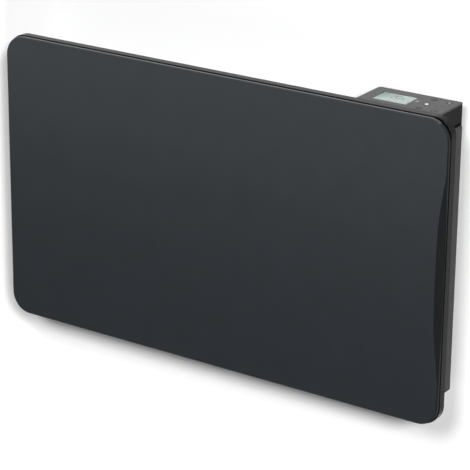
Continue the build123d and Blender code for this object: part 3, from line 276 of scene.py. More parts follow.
def galvanised(name, colour, crystal, roughness=0.38):
    """Zinc-plated sheet, with its flat crystals."""
    material, tree, shader, coordinates = start_material(name)
    crystals = tree.nodes.new("ShaderNodeTexVoronoi")
    crystals.inputs["Scale"].default_value = 1 / crystal
    tree.links.new(coordinates, crystals.inputs["Vector"])
    grey = tree.nodes.new("ShaderNodeSeparateColor")
    tree.links.new(crystals.outputs["Color"], grey.inputs["Color"])
    darker, lighter = shade(colour, crystal_dark), shade(colour, crystal_light)
    tree.links.new(
        blend_colours(tree, grey.outputs[0], darker, lighter, start=0, end=1),
        shader.inputs["Base Color"],
    )
    least, most = roughness - crystal_smoother, roughness + crystal_rougher
    tree.links.new(
        spread_value(tree, grey.outputs[1], least, most), shader.inputs["Roughness"]
    )
    shader.inputs["Metallic"].default_value = 1
    return material


def drawn_metal(name, colour, roughness, stretch=(1, 1, 12)):
    """Metal with fine marks along one axis."""
    material, tree, shader, coordinates = start_material(name)
    marks = add_noise(tree, coordinates, mark_spacing, detail=4.0, stretch=stretch)
    darker, lighter = shade(colour, mark_dark), shade(colour, mark_light)
    tree.links.new(blend_colours(tree, marks, darker, lighter), shader.inputs["Base Color"])
    tree.links.new(
        spread_value(tree, marks, roughness - mark_smoother, roughness + mark_rougher),
        shader.inputs["Roughness"],
    )
    shader.inputs["Metallic"].default_value = 1
    add_bump(tree, shader, marks, mark_relief, strength=0.3)
    return material


materials.update({
    "zinc_steel": galvanised("zinc_steel", (0.52, 0.53, 0.54), 9 * mm),
    "fastener_zinc": galvanised("fastener_zinc", (0.60, 0.60, 0.58), 2 * mm, 0.3),
    "element_steel": drawn_metal("element_steel", (0.26, 0.24, 0.22), 0.45, (0.2, 3, 3)),
    "probe_steel": drawn_metal("probe_steel", (0.55, 0.55, 0.55), 0.25),
    "sink_aluminium": drawn_metal("sink_aluminium", (0.70, 0.70, 0.71), 0.35),
})
print("metals: zinc, elements, probe, heat sink")

# %% [markdown]
# What is left lies inside: pressed bricks with pores and iron-brown grains, mineral wool whose
# fibres run every way, felt, ceramic bushes, printed boards and the heating film with its
# copper-coloured tracks. Each gets the pattern that a hand would feel or an eye would find.

# %% Bricks, fibres, ceramics and boards
stripe_edge = 0.06
stripe_relief = 0.03 * mm


def grainy(name, low, high, grain, depth, roughness, stretch=None):
    """A dull solid of two mixed colours with a bumpy surface: brick, felt, wool, ceramic."""
    material, tree, shader, coordinates = start_material(name)
    grains = add_noise(tree, coordinates, grain, detail=6.0, stretch=stretch)
    tree.links.new(blend_colours(tree, grains, low, high), shader.inputs["Base Color"])
    shader.inputs["Roughness"].default_value = roughness
    add_bump(tree, shader, grains, depth, strength=0.8)
    return material


def striped(name, ground, stripe, pitch, axis, roughness, share=0.5):
    """Two colours in straight bands across an axis: printed tracks and copper on a board."""
    material, tree, shader, coordinates = start_material(name)
    bands = tree.nodes.new("ShaderNodeTexWave")
    bands.bands_direction = axis
    bands.wave_profile = "SIN"
    bands.inputs["Scale"].default_value = math.pi / 10 / pitch
    bands.inputs["Distortion"].default_value = 0
    tree.links.new(coordinates, bands.inputs["Vector"])
    tree.links.new(
        blend_colours(tree, bands.outputs["Fac"], ground, stripe, share, share + stripe_edge),
        shader.inputs["Base Color"],
    )
    shader.inputs["Roughness"].default_value = roughness
    add_bump(tree, shader, bands.outputs["Fac"], stripe_relief, strength=0.3)
    return material


materials.update({
    "brick": grainy("brick", (0.12, 0.065, 0.045), (0.30, 0.19, 0.14), 1.8 * mm, 0.3 * mm, 0.9),
    "mineral_wool": grainy(
        "mineral_wool", (0.40, 0.33, 0.19), (0.68, 0.60, 0.42), 3 * mm, 0.5 * mm, 0.95, (1, 1, 4)
    ),
    "felt": grainy("felt", (0.55, 0.54, 0.50), (0.74, 0.73, 0.69), 1.2 * mm, 0.2 * mm, 0.95),
    "steatite": grainy("steatite", (0.72, 0.69, 0.60), (0.82, 0.79, 0.71), 2 * mm, 0.03 * mm, 0.6),
    "cutout_body": grainy(
        "cutout_body", (0.55, 0.53, 0.46), (0.66, 0.64, 0.57), 2 * mm, 0.03 * mm, 0.6
    ),
    "circuit_board": striped(
        "circuit_board", (0.012, 0.11, 0.05), (0.03, 0.20, 0.10), 2.5 * mm, "X", 0.35
    ),
    "heating_foil": striped(
        "heating_foil", (0.45, 0.22, 0.05), (0.55, 0.33, 0.16), 9 * mm, "Z", 0.3
    ),
})
print("inner materials made; total", len(materials))

# %% [markdown]
# The display's lens is a thin clear window over a reflective liquid-crystal cell. The cell is
# not a flat colour: it is a grey-green that darkens a little to one corner, and that darkening
# is painted shade, for the shadow that the window's recess casts on it. The lens itself only
# adds a faint gloss, so it is nearly transparent and the printed cell lies just beneath its
# surface.

# %% Display
film_size = 20 * mm
film_change = 0.03
pane_roughness = 0.08
painted_shade_start = -42 * mm
painted_shade_end = -4 * mm
ink_grain = 1 * mm
ink_relief = 0.001 * mm


def clear_window(name, colour, alpha):
    """A clear plastic pane, seen mostly by its gloss."""
    material, tree, shader, coordinates = start_material(name)
    film = add_noise(tree, coordinates, film_size)
    darker, lighter = shade(colour, 1 - film_change), shade(colour, 1 + film_change)
    tree.links.new(blend_colours(tree, film, darker, lighter), shader.inputs["Base Color"])
    shader.inputs["Roughness"].default_value = pane_roughness
    shader.inputs["Alpha"].default_value = alpha
    return material


def display_cell(name, dark, pale):
    """The cell's grey-green, with painted shade that darkens it towards one corner of the pane."""
    material, tree, shader, coordinates = start_material(name)
    low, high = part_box("display_lens")
    mapping = tree.nodes.new("ShaderNodeMapping")
    mapping.inputs["Location"].default_value = -(low + high) / 2
    tree.links.new(coordinates, mapping.inputs["Vector"])
    across = tree.nodes.new("ShaderNodeSeparateXYZ")
    tree.links.new(mapping.outputs["Vector"], across.inputs["Vector"])
    # Painted shade: the cell darkens along x minus y, towards the corner that the recess shades.
    fall = tree.nodes.new("ShaderNodeMath")
    fall.operation = "SUBTRACT"
    tree.links.new(across.outputs["X"], fall.inputs[0])
    tree.links.new(across.outputs["Y"], fall.inputs[1])
    reach = tree.nodes.new("ShaderNodeMapRange")
    reach.inputs["From Min"].default_value = painted_shade_start
    reach.inputs["From Max"].default_value = painted_shade_end
    tree.links.new(fall.outputs[0], reach.inputs["Value"])
    tree.links.new(
        blend_colours(tree, reach.outputs["Result"], dark, pale, start=0, end=1),
        shader.inputs["Base Color"],
    )
    shader.inputs["Roughness"].default_value = 0.5
    return material


materials["display_face"] = clear_window("display_face", (0.60, 0.66, 0.64), alpha=0.12)
# The cell's own grey-green, with painted shade towards one corner.
cell_with_painted_shade = display_cell("cell_with_painted_shade", (0.12, 0.16, 0.155), (0.42, 0.50, 0.475))
segment_finish = moulding("segment_finish", (0.075, 0.10, 0.095), 0.4, ink_grain, ink_relief)
inks = {
    name: moulding(name, colour, 0.5, ink_grain, ink_relief)
    for name, colour in (
        ("faint_mark", (0.075, 0.075, 0.078)), ("pale_mark", (0.45, 0.45, 0.46)),
        ("middling_mark", (0.13, 0.13, 0.135)), ("white_mark", (0.80, 0.80, 0.80)),
    )
}
print("display finishes made, and inks:", ", ".join(inks))

# %% [markdown]
# The record says which slot each node takes its finish from, so the finishes go on by a loop
# instead of by hand. A node that the loop can't serve would be a mistake, and stops the script.

# %% Give every node its finish
slot_of = {entry["node"]: entry["material_slot"] for entry in frame["record"]["subparts"]}
for name, node in nodes.items():
    node.data.materials.clear()
    node.data.materials.append(materials[slot_of[name]])
print("finished", len(slot_of), "nodes in", len(set(slot_of.values())), "finishes")

# %% [markdown]
# Two nodes need more than one finish, and each second finish is painted shade. The panel's
# bevel and its rim turn away from the room's light and get a darker paint, so they read nearly
# black. The groove between the control box and the casing is deep and unlit and gets a nearly
# black moulding. A node's own mesh is left alone: a copy of it is merged into one skin, and a
# rule picks the faces for the second finish, only by where a face lies and which way it points.

# %% Panel and housing, each with a second finish of painted shade
weld_gap = 0.0005 * mm
bevel_reach = 16 * mm
bevel_lean = 0.15
groove = 4.9 * mm
groove_margin = 0.2 * mm
panel_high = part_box("front_panel")[1]
casing_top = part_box("rear_casing")[1].z


def two_finishes(name, node, second, chosen):
    """A merged copy of a node, with a second finish on the faces that the rule chooses."""
    work = bmesh.new()
    work.from_mesh(node.data)
    bmesh.ops.remove_doubles(work, verts=work.verts, dist=weld_gap)
    work.normal_update()
    for face in work.faces:
        face.material_index = int(chosen(face))
    mesh = bpy.data.meshes.new(name)
    work.to_mesh(mesh)
    work.free()
    mesh.materials.append(node.data.materials[0])
    mesh.materials.append(second)
    piece = bpy.data.objects.new(name, mesh)
    scene.collection.objects.link(piece)
    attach(piece, "radiator")
    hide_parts(node.name)


def on_bevel(face):
    """True on the curved bevel and the rim beside it, which take the painted shade."""
    return face.normal.x > bevel_lean and face.calc_center_median().x > panel_high.x - bevel_reach


def in_groove(face):
    """True on the neck between the casing and the box, and under the box, for painted shade."""
    height = face.calc_center_median().z
    return casing_top - mm < height < casing_top + groove + groove_margin


# Painted shade: a darker paint for the bevel and rim, which turn away from the light.
bevel_painted_shade = powder_coat("bevel_painted_shade", (0.0075, 0.0083, 0.0095), 0.45, 0.5 * mm, 6 * mm, 0.1)
# Painted shade: a nearly black moulding for the unlit groove under the control box.
groove_painted_shade = moulding(
    "groove_painted_shade", (0.0015, 0.0015, 0.0016), 0.6, 0.5 * mm, 0.02 * mm, 0.02
)
two_finishes("front_panel_painted", nodes["front_panel"], bevel_painted_shade, on_bevel)
two_finishes("control_housing_moulded", nodes["control_housing"], groove_painted_shade, in_groove)
print("panel and housing have two finishes each")

# %% [markdown]
# The display and the keys lie on a fascia that leans back by a degree and a half. Rather than
# repeat that angle here, the script measures it: the lens's top face gives a point and a
# normal, and everything printed is laid out in that plane, with x to the right and y to the
# wall.

# %% The fascia's plane
nearly_up = 0.99
same_level = 0.1 * mm


def top_plane(node):
    """The matrix of a node's uppermost flat face: x along +X, y towards the wall, z out of it."""
    mesh = node.data
    upward = [face for face in mesh.polygons if face.normal.z > nearly_up]
    slope = upward[0].normal
    highest = max(face.center.dot(slope) for face in upward)
    top = [face for face in upward if highest - face.center.dot(slope) < same_level]
    area = sum(face.area for face in top)
    normal = sum((face.normal * face.area for face in top), Vector()).normalized()
    centre = sum((face.center * face.area for face in top), Vector()) / area
    across = Vector((1, 0, 0))
    rise = normal.cross(across)
    turned = Matrix((across, rise, normal)).transposed().to_4x4()
    return Matrix.Translation(centre) @ turned


fascia_face = top_plane(nodes["display_lens"])
print("the fascia leans by", round(math.degrees(math.acos(fascia_face.col[2].z)), 2), "degrees")


def on_fascia(node):
    """Where a key or the light stands in the fascia's plane."""
    low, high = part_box(node)
    middle = fascia_face.inverted() @ ((low + high) / 2)
    return Vector((middle.x, middle.y))


# %% [markdown]
# A printed mark is a skin of ink a few hundredths of a millimetre thick. Each is made from
# flat outlines in the fascia's plane, raised by that much, so it shows from any side and moves
# with its key. Strokes are drawn as rectangles, rings as two circles, and dots as one.

# %% Printed marks
ink = 0.04 * mm


def stroke(start, end, width):
    """The four corners of a straight stroke."""
    start, end = Vector(start), Vector(end)
    side = (end - start).normalized().orthogonal() * width / 2
    return [start - side, end - side, end + side, start + side]


def arc_band(centre, radius, width, start, sweep, steps=24):
    """A ring or part of one, as a list of small four-cornered pieces."""
    centre = Vector(centre)
    angles = [math.radians(start + sweep * n / steps) for n in range(steps + 1)]
    rays = [Vector((math.cos(a), math.sin(a))) for a in angles]
    inner, outer = radius - width / 2, radius + width / 2
    return [
        [centre + a * inner, centre + a * outer, centre + b * outer, centre + b * inner]
        for a, b in zip(rays, rays[1:])
    ]


def disc(centre, radius, steps=32):
    """A round dot."""
    return [
        Vector(centre) + Vector((math.cos(a), math.sin(a))) * radius
        for a in (2 * math.pi * n / steps for n in range(steps))
    ]


def print_marks(name, outlines, material, body, level=0.0, thickness=ink):
    """One mesh of raised flat outlines in the fascia's plane."""
    work = bmesh.new()
    for outline in outlines:
        low, high = (
            [work.verts.new(fascia_face @ Vector((p.x, p.y, height))) for p in outline]
            for height in (level, level + thickness)
        )
        work.faces.new(high)
        work.faces.new(low[::-1])
        for n in range(len(outline)):
            after = (n + 1) % len(outline)
            work.faces.new((low[n], low[after], high[after], high[n]))
    bmesh.ops.recalc_face_normals(work, faces=work.faces)
    mesh = bpy.data.meshes.new(name)
    work.to_mesh(mesh)
    work.free()
    mesh.materials.append(material)
    piece = bpy.data.objects.new(name, mesh)
    scene.collection.objects.link(piece)
    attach(piece, body)


# %% [markdown]
# Five keys carry five marks. The one in the middle of the left column is a solid white dot, the
# brightest thing on the box; the keys at the right end have a pale mark, and the two beside the
# dot have marks so faint that only a lean into the light shows them.

# %% Marks on the keys
mark_size = 2.2 * mm
mark_line = 0.7 * mm
bar_pitch = 1.5 * mm
dot_radius = 2.9 * mm
stem_foot_share, stem_tip_share = 0.2, 1.3
up = on_fascia("key_up")
down = on_fascia("key_down")
select = on_fascia("key_select")
mode = on_fascia("key_mode")
power = on_fascia("key_power")


def chevron(centre, reach, lift):
    """Two strokes that meet in a point: up for a positive lift."""
    tip = centre + Vector((0, lift))
    return [
        stroke(centre + Vector((-reach, -lift)), tip, mark_line),
        stroke(tip, centre + Vector((reach, -lift)), mark_line),
    ]


def bars(centre, reach, pitch):
    """Three level strokes."""
    levels = [centre + Vector((0, step * pitch)) for step in (-1, 0, 1)]
    side = Vector((reach, 0))
    return [stroke(level - side, level + side, mark_line) for level in levels]


def power_sign(centre, radius):
    """An open ring with a stroke through its gap."""
    ring = arc_band(centre, radius, mark_line, start=120, sweep=300)
    foot = centre + Vector((0, radius * stem_foot_share))
    tip = centre + Vector((0, radius * stem_tip_share))
    return ring + [stroke(foot, tip, mark_line)]


marks = {
    "up_mark": (chevron(up, mark_size, mark_size / 2), "faint_mark", "key_up"),
    "down_mark": (chevron(down, mark_size, -mark_size / 2), "faint_mark", "key_down"),
    "select_dot": ([disc(select, dot_radius)], "white_mark", "key_select"),
    "mode_mark": (bars(mode, mark_size, bar_pitch), "pale_mark", "key_mode"),
    "power_mark": (power_sign(power, mark_size), "middling_mark", "key_power"),
}
for name, (outlines, ink_name, body) in marks.items():
    print_marks(name, outlines, inks[ink_name], body)
print("printed", len(marks), "key marks")

# %% [markdown]
# The display shows a room temperature. A seven-segment digit is a rule rather than a drawing:
# seven strokes, and a table of which are lit for each figure. The digits are laid a few
# hundredths above the cell, and both lie under the lens's surface.

# %% Display cell and digits
cell_depth = -0.30 * mm
digit_depth = -0.22 * mm
window_half = Vector((26.2 * mm, 16.8 * mm))
cell_corners = [
    Vector((-window_half.x, -window_half.y)),
    Vector((window_half.x, -window_half.y)),
    Vector((window_half.x, window_half.y)),
    Vector((-window_half.x, window_half.y)),
]
print_marks("display_cell", [cell_corners], cell_with_painted_shade, "radiator", cell_depth)

segment_gap_share = 0.6
lit_segments = {
    "0": "abcdef", "1": "bc", "2": "abged", "3": "abgcd", "4": "fgbc",
    "5": "afgcd", "6": "afgedc", "7": "abc", "8": "abcdefg", "9": "abcdfg",
}


def digit(figure, centre, height, line):
    """The lit strokes of one seven-segment figure."""
    half, wide, gap = height / 2, height / 4, line * segment_gap_share
    ends = {
        "a": ((-wide + gap, half), (wide - gap, half)),
        "b": ((wide, half - gap), (wide, gap)),
        "c": ((wide, -gap), (wide, -half + gap)),
        "d": ((-wide + gap, -half), (wide - gap, -half)),
        "e": ((-wide, -gap), (-wide, -half + gap)),
        "f": ((-wide, half - gap), (-wide, gap)),
        "g": ((-wide + gap, 0), (wide - gap, 0)),
    }
    return [
        stroke(centre + Vector(ends[s][0]), centre + Vector(ends[s][1]), line)
        for s in lit_segments[figure]
    ]


digit_height = 12 * mm
digit_pitch = 8.4 * mm
digit_line = 1.5 * mm
digit_level = 4.5 * mm
reading_left = -4.5 * mm
tenths_height_share = 0.6
tenths_line = 1.1 * mm
tenths_level = 2.3 * mm
point_radius = 0.7 * mm
point_level = -1.2 * mm
tenths_place, point_place = 1.9, 1.5


def at_place(steps, level):
    """A point on the display, some digits to the right of the first one."""
    return Vector((reading_left + steps * digit_pitch, level))


reading = []
for steps, figure in enumerate("20"):
    reading += digit(figure, at_place(steps, digit_level), digit_height, digit_line)
reading += digit(
    "5", at_place(tenths_place, tenths_level), digit_height * tenths_height_share, tenths_line
)
reading += [disc(at_place(point_place, point_level), point_radius, steps=12)]
print_marks("display_digits", reading, segment_finish, "radiator", digit_depth)
print("the display shows", len(reading), "strokes")

# %% [markdown]
# Pan-head screws repeat all round the back. On the model each is a plain cylinder; a real one
# has a crowned head and a cross recess. Geometry Nodes are the right tool here: one tree builds
# a screw from named sizes and sets it on every point it is given, so ten screws or fifty cost
# the same effort. The points are read from the model: each loose part of the node is one screw.

# %% Find the screws of a node
touch = 0.001 * mm
end_depth = 0.2 * mm


def loose_parts(node):
    """The boxes of a node's separate solids."""
    work = bmesh.new()
    work.from_mesh(node.data)
    bmesh.ops.remove_doubles(work, verts=work.verts, dist=touch)
    unseen = set(work.verts)
    boxes = []
    while unseen:
        front = [unseen.pop()]
        low, high = front[0].co.copy(), front[0].co.copy()
        while front:
            vertex = front.pop()
            low = Vector(map(min, low, vertex.co))
            high = Vector(map(max, high, vertex.co))
            for edge in vertex.link_edges:
                other = edge.other_vert(vertex)
                if other in unseen:
                    unseen.remove(other)
                    front.append(other)
        boxes.append((low, high))
    work.free()
    return boxes


def widest_end(node, box):
    """True if a screw's head is at its room side, which is where its outline is widest."""
    low, high = box
    middle = (low + high) / 2
    near = [
        v.co for v in node.data.vertices
        if low.x <= v.co.x <= high.x and low.z <= v.co.z <= high.z
    ]
    room_end = max(abs(p.x - middle.x) for p in near if p.y < low.y + end_depth)
    wall_end = max(abs(p.x - middle.x) for p in near if p.y > high.y - end_depth)
    return room_end > wall_end


# %% [markdown]
# The tree stacks a shank, a straight rim and a crown that tapers, and sinks a dark cross into
# the crown, a painted shade that stands for the cross recess. The head's height is shared out
# between rim and crown, so the shares are named.

# %% The screw tree
rim_share, crown_share = 0.55, 0.45
crown_top_share = 0.72
cross_depth_share, cross_level_share = 0.1, 0.955
head_steps = 32


def screw_tree(name, metal, recess):
    """A Geometry Nodes tree that sets a pan-head screw on each vertex of its input."""
    tree = bpy.data.node_groups.new(name, "GeometryNodeTree")
    tree.interface.new_socket("Geometry", in_out="INPUT", socket_type="NodeSocketGeometry")
    for label, value in (
        ("Head Radius", 3.8 * mm), ("Head Height", 2.4 * mm), ("Shank Radius", 2 * mm),
        ("Shank Length", 5 * mm), ("Recess Length", 4.2 * mm), ("Recess Width", 0.9 * mm),
    ):
        socket = tree.interface.new_socket(label, in_out="INPUT", socket_type="NodeSocketFloat")
        socket.default_value = value
    flip = tree.interface.new_socket("Turn", in_out="INPUT", socket_type="NodeSocketFloat")
    flip.default_value = 0.0
    tree.interface.new_socket("Geometry", in_out="OUTPUT", socket_type="NodeSocketGeometry")
    make = tree.nodes.new
    link = tree.links.new
    given = make("NodeGroupInput")

    def product(source, factor):
        node = make("ShaderNodeMath")
        node.operation = "MULTIPLY"
        node.inputs[1].default_value = factor
        link(source, node.inputs[0])
        return node.outputs[0]

    def along(source, factor):
        node = make("ShaderNodeCombineXYZ")
        link(product(source, factor), node.inputs["Z"])
        return node.outputs[0]

    def moved(geometry, offset):
        node = make("GeometryNodeTransform")
        link(geometry, node.inputs["Geometry"])
        link(offset, node.inputs["Translation"])
        return node.outputs["Geometry"]

    def painted(geometry, material):
        node = make("GeometryNodeSetMaterial")
        node.inputs["Material"].default_value = material
        link(geometry, node.inputs["Geometry"])
        return node.outputs["Geometry"]

    def frustum(foot, top, height):
        node = make("GeometryNodeMeshCone")
        node.inputs["Vertices"].default_value = head_steps
        link(foot, node.inputs["Radius Bottom"])
        link(top, node.inputs["Radius Top"])
        link(height, node.inputs["Depth"])
        return node.outputs["Mesh"]

    head_radius, head_height = given.outputs["Head Radius"], given.outputs["Head Height"]
    shank_radius, shank_length = given.outputs["Shank Radius"], given.outputs["Shank Length"]
    rim = frustum(head_radius, head_radius, product(head_height, rim_share))
    crown_top = product(head_radius, crown_top_share)
    crown = moved(
        frustum(head_radius, crown_top, product(head_height, crown_share)),
        along(head_height, rim_share),
    )
    shank = moved(frustum(shank_radius, shank_radius, shank_length), along(shank_length, -1.0))
    steel = make("GeometryNodeJoinGeometry")
    for part in (shank, crown, rim):
        link(part, steel.inputs["Geometry"])
    cross = make("GeometryNodeJoinGeometry")
    for sizes in (("Recess Length", "Recess Width"), ("Recess Width", "Recess Length")):
        extent = make("ShaderNodeCombineXYZ")
        link(given.outputs[sizes[0]], extent.inputs["X"])
        link(given.outputs[sizes[1]], extent.inputs["Y"])
        link(product(head_height, cross_depth_share), extent.inputs["Z"])
        block = make("GeometryNodeMeshCube")
        link(extent.outputs[0], block.inputs["Size"])
        sunk = moved(block.outputs["Mesh"], along(head_height, cross_level_share))
        link(sunk, cross.inputs["Geometry"])
    screw = make("GeometryNodeJoinGeometry")
    link(painted(cross.outputs[0], recess), screw.inputs["Geometry"])
    link(painted(steel.outputs[0], metal), screw.inputs["Geometry"])
    pose = make("ShaderNodeCombineXYZ")
    link(given.outputs["Turn"], pose.inputs["X"])
    copies = make("GeometryNodeInstanceOnPoints")
    link(given.outputs["Geometry"], copies.inputs["Points"])
    link(screw.outputs[0], copies.inputs["Instance"])
    link(pose.outputs[0], copies.inputs["Rotation"])
    real = make("GeometryNodeRealizeInstances")
    link(copies.outputs[0], real.inputs[0])
    link(real.outputs[0], make("NodeGroupOutput").inputs[0])
    return tree


# Painted shade: the dark cross stands for the shade inside the screw's recess.
recess_painted_shade = moulding("recess_painted_shade", (0.03, 0.03, 0.03), 0.6, 0.5 * mm, 0.01 * mm)
pan_head = screw_tree("pan_head_screws", materials["fastener_zinc"], recess_painted_shade)
print("screw tree has", len(pan_head.nodes), "nodes")

# %% [markdown]
# Running a tree takes three steps: a mesh of loose points goes in, each size is set by its
# socket's identifier, and the evaluated result is kept as a plain mesh. Some screws of the
# chassis face the wall and some the room, so each row of points is turned its own way.

# %% Set the chassis screws
def run_tree(name, tree, points, sizes, body):
    """A plain mesh from a tree that was run on loose points."""
    seed = bpy.data.meshes.new(name + "_points")
    seed.from_pydata([tuple(p) for p in points], [], [])
    holder = bpy.data.objects.new(name + "_holder", seed)
    scene.collection.objects.link(holder)
    modifier = holder.modifiers.new("tree", "NODES")
    modifier.node_group = tree
    for item in tree.interface.items_tree:
        if item.in_out == "INPUT" and item.name in sizes:
            modifier[item.identifier] = sizes[item.name]
    bpy.context.view_layer.update()
    evaluated = holder.evaluated_get(bpy.context.evaluated_depsgraph_get())
    mesh = bpy.data.meshes.new_from_object(evaluated)
    bpy.data.objects.remove(holder)
    mesh.name = name
    piece = bpy.data.objects.new(name, mesh)
    scene.collection.objects.link(piece)
    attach(piece, body)
    return piece


chassis = nodes["chassis_screws"]
seats = {"wall": [], "room": []}
head_height = 2.4 * mm
for part in loose_parts(chassis):
    low, high = part
    middle = (low + high) / 2
    if widest_end(chassis, part):
        seats["room"].append(Vector((middle.x, low.y + head_height, middle.z)))
    else:
        seats["wall"].append(Vector((middle.x, high.y - head_height, middle.z)))
quarter_turn = math.pi / 2
facing_wall = run_tree(
    "chassis_screws_rear", pan_head, seats["wall"],
    {"Turn": -quarter_turn, "Head Height": head_height}, "radiator",
)
run_tree(
    "chassis_screws_front", pan_head, seats["room"],
    {"Turn": quarter_turn, "Head Height": head_height}, "radiator",
)
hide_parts("chassis_screws")
print("screws that face the wall and the room:", len(seats["wall"]), len(seats["room"]))

# %% [markdown]
# The room around the radiator is a white wall and a floor. The wall catches the soft shadow that
# tells the eye how far the panel stands off. Seen by the camera, both add light of their own,
# so that they read as white paper while their shadows stay, and the wall adds more of it away
# from the radiator. The floor glows for the camera alone: the panel mirrors it as dark, which
# shades the panel's face towards its foot. Seen from behind both are clear, and the lamps
# shine through them, so that a lamp behind the wall can light the back of the radiator.

# %% Wall and floor
shade_reach = 85 * mm
white_reach = 125 * mm
tooth_size = 4 * mm
tooth_shade = 0.995


def distance_glow(tree, coordinates, near, far):
    """A glow that grows with the distance from the panel's outline on the wall."""
    axes = tree.nodes.new("ShaderNodeSeparateXYZ")
    tree.links.new(coordinates, axes.inputs["Vector"])
    outside = tree.nodes.new("ShaderNodeCombineXYZ")
    for axis, half in (("X", panel_high.x), ("Z", panel_high.z)):
        steps = [axes.outputs[axis]]
        for operation, value in (("ABSOLUTE", 0), ("SUBTRACT", half), ("MAXIMUM", 0)):
            step = tree.nodes.new("ShaderNodeMath")
            step.operation = operation
            step.inputs[1].default_value = value
            tree.links.new(steps[-1], step.inputs[0])
            steps.append(step.outputs[0])
        tree.links.new(steps[-1], outside.inputs[axis])
    distance = tree.nodes.new("ShaderNodeVectorMath")
    distance.operation = "LENGTH"
    tree.links.new(outside.outputs[0], distance.inputs[0])
    spread = tree.nodes.new("ShaderNodeMapRange")
    spread.interpolation_type = "SMOOTHSTEP"
    for label, value in (
        ("From Min", shade_reach), ("From Max", white_reach), ("To Min", near), ("To Max", far),
    ):
        spread.inputs[label].default_value = value
    tree.links.new(distance.outputs["Value"], spread.inputs["Value"])
    return spread.outputs["Result"]


def paper(name, albedo, glow, far_glow=None, mirrored=True):
    """A stage surface, one-sided, that glows for the camera and, if mirrored, in reflections."""
    material, tree, shader, coordinates = start_material(name)
    tree.nodes.remove(shader)
    tooth = add_noise(tree, coordinates, tooth_size)
    matte = tree.nodes.new("ShaderNodeBsdfDiffuse")
    full = (albedo,) * 3
    tree.links.new(
        blend_colours(tree, tooth, shade(full, tooth_shade), full), matte.inputs["Color"]
    )
    path = tree.nodes.new("ShaderNodeLightPath")
    seen = tree.nodes.new("ShaderNodeMath")
    seen.operation = "MAXIMUM"
    tree.links.new(path.outputs["Is Camera Ray"], seen.inputs[0])
    seen.inputs[1].default_value = 0
    if mirrored:
        tree.links.new(path.outputs["Is Glossy Ray"], seen.inputs[1])
    power = tree.nodes.new("ShaderNodeMath")
    power.operation = "MULTIPLY"
    power.inputs[1].default_value = glow
    if far_glow:
        tree.links.new(distance_glow(tree, coordinates, glow, far_glow), power.inputs[1])
    tree.links.new(seen.outputs[0], power.inputs[0])
    light = tree.nodes.new("ShaderNodeEmission")
    tree.links.new(power.outputs[0], light.inputs["Strength"])
    both = tree.nodes.new("ShaderNodeAddShader")
    tree.links.new(matte.outputs[0], both.inputs[0])
    tree.links.new(light.outputs[0], both.inputs[1])
    clear = tree.nodes.new("ShaderNodeBsdfTransparent")
    side = tree.nodes.new("ShaderNodeNewGeometry")
    let_through = tree.nodes.new("ShaderNodeMath")
    let_through.operation = "MAXIMUM"
    tree.links.new(side.outputs["Backfacing"], let_through.inputs[0])
    tree.links.new(path.outputs["Is Shadow Ray"], let_through.inputs[1])
    choice = tree.nodes.new("ShaderNodeMixShader")
    tree.links.new(let_through.outputs[0], choice.inputs[0])
    tree.links.new(both.outputs[0], choice.inputs[1])
    tree.links.new(clear.outputs[0], choice.inputs[2])
    tree.links.new(choice.outputs[0], tree.nodes["Material Output"].inputs["Surface"])
    return material


def stage_sheet(name, corners, material):
    """A flat stage surface whose face looks at the object."""
    mesh = bpy.data.meshes.new(name)
    mesh.from_pydata(corners, [], [(0, 1, 2, 3)])
    mesh.materials.append(material)
    piece = bpy.data.objects.new(name, mesh)
    scene.collection.objects.link(piece)


room = 4.0
floor_level = -0.60
wall_place = 0.0005
floor_reach = -1.85
paper_white = paper("paper_white", albedo=0.90, glow=0.02, far_glow=0.36)
floor_pale = paper("floor_pale", albedo=0.18, glow=0.78, mirrored=False)
stage_sheet("wall", [
    (-room, wall_place, floor_level), (room, wall_place, floor_level),
    (room, wall_place, room), (-room, wall_place, room),
], paper_white)
stage_sheet("floor", [
    (-room, floor_reach, floor_level), (room, floor_reach, floor_level),
    (room, wall_place, floor_level), (-room, wall_place, floor_level),
], floor_pale)
print("wall and floor built")

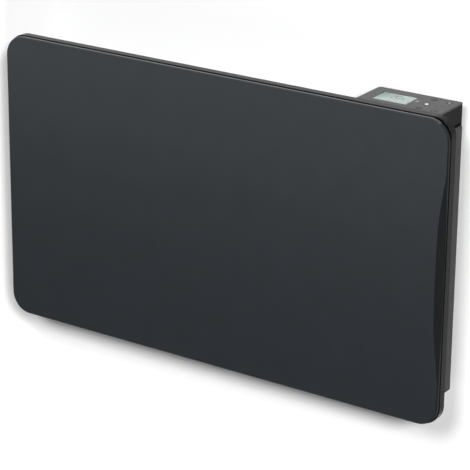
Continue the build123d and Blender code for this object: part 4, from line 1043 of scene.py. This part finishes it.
# %% [markdown]
# The world is white to whoever looks at it, in a mirror or through a pane too. As a lamp it is
# kept dim, so that it fills the darkest corners without washing the shadows out.

# %% World
room_light = 0.03
world = bpy.data.worlds.new("studio")
scene.world = world
world.use_nodes = True
sky = world.node_tree
sky.nodes.clear()
rays = sky.nodes.new("ShaderNodeLightPath")
looked_at = rays.outputs["Is Camera Ray"]
for kind in ("Is Glossy Ray", "Is Transmission Ray"):
    either = sky.nodes.new("ShaderNodeMath")
    either.operation = "MAXIMUM"
    sky.links.new(looked_at, either.inputs[0])
    sky.links.new(rays.outputs[kind], either.inputs[1])
    looked_at = either.outputs[0]
mixed = sky.nodes.new("ShaderNodeMixShader")
sky.links.new(looked_at, mixed.inputs[0])
for socket, strength in ((1, room_light), (2, 1)):
    light = sky.nodes.new("ShaderNodeBackground")
    light.inputs["Color"].default_value = (1, 1, 1, 1)
    light.inputs["Strength"].default_value = strength
    sky.links.new(light.outputs[0], mixed.inputs[socket])
sky.links.new(mixed.outputs[0], sky.nodes.new("ShaderNodeOutputWorld").inputs["Surface"])
print("world set")

# %% [markdown]
# Two large softboxes hang far off, in front of the radiator, high and to its right. The shadows
# on the wall therefore fall down and to the left, and a lamp's width and height decide how
# softly each one fades. The right-hand lamp stands so far aside that its shadow shows past the
# panel's left edge. The other one shades the strip of wall beside the casing. A small third
# lamp, behind the wall and low, lights the back.

# %% Lamps
def softbox(name, place, width, height, power):
    """A rectangular area lamp that looks at the middle of the radiator."""
    data = bpy.data.lights.new(name, "AREA")
    data.shape = "RECTANGLE"
    data.size = width
    data.size_y = height
    data.energy = power
    lamp = bpy.data.objects.new(name, data)
    lamp.location = place
    lamp.rotation_euler = (-Vector(place)).to_track_quat("-Z", "Y").to_euler()
    scene.collection.objects.link(lamp)


softbox("key_right", (8.0, -8.0, 4.9), width=1.6, height=1.8, power=1300)
softbox("key_front", (2.3, -8.0, 4.9), width=2.1, height=1.8, power=490)
softbox("behind", (-1.2, 2.6, -1.4), width=1.6, height=1.6, power=130)
print("lamps set")
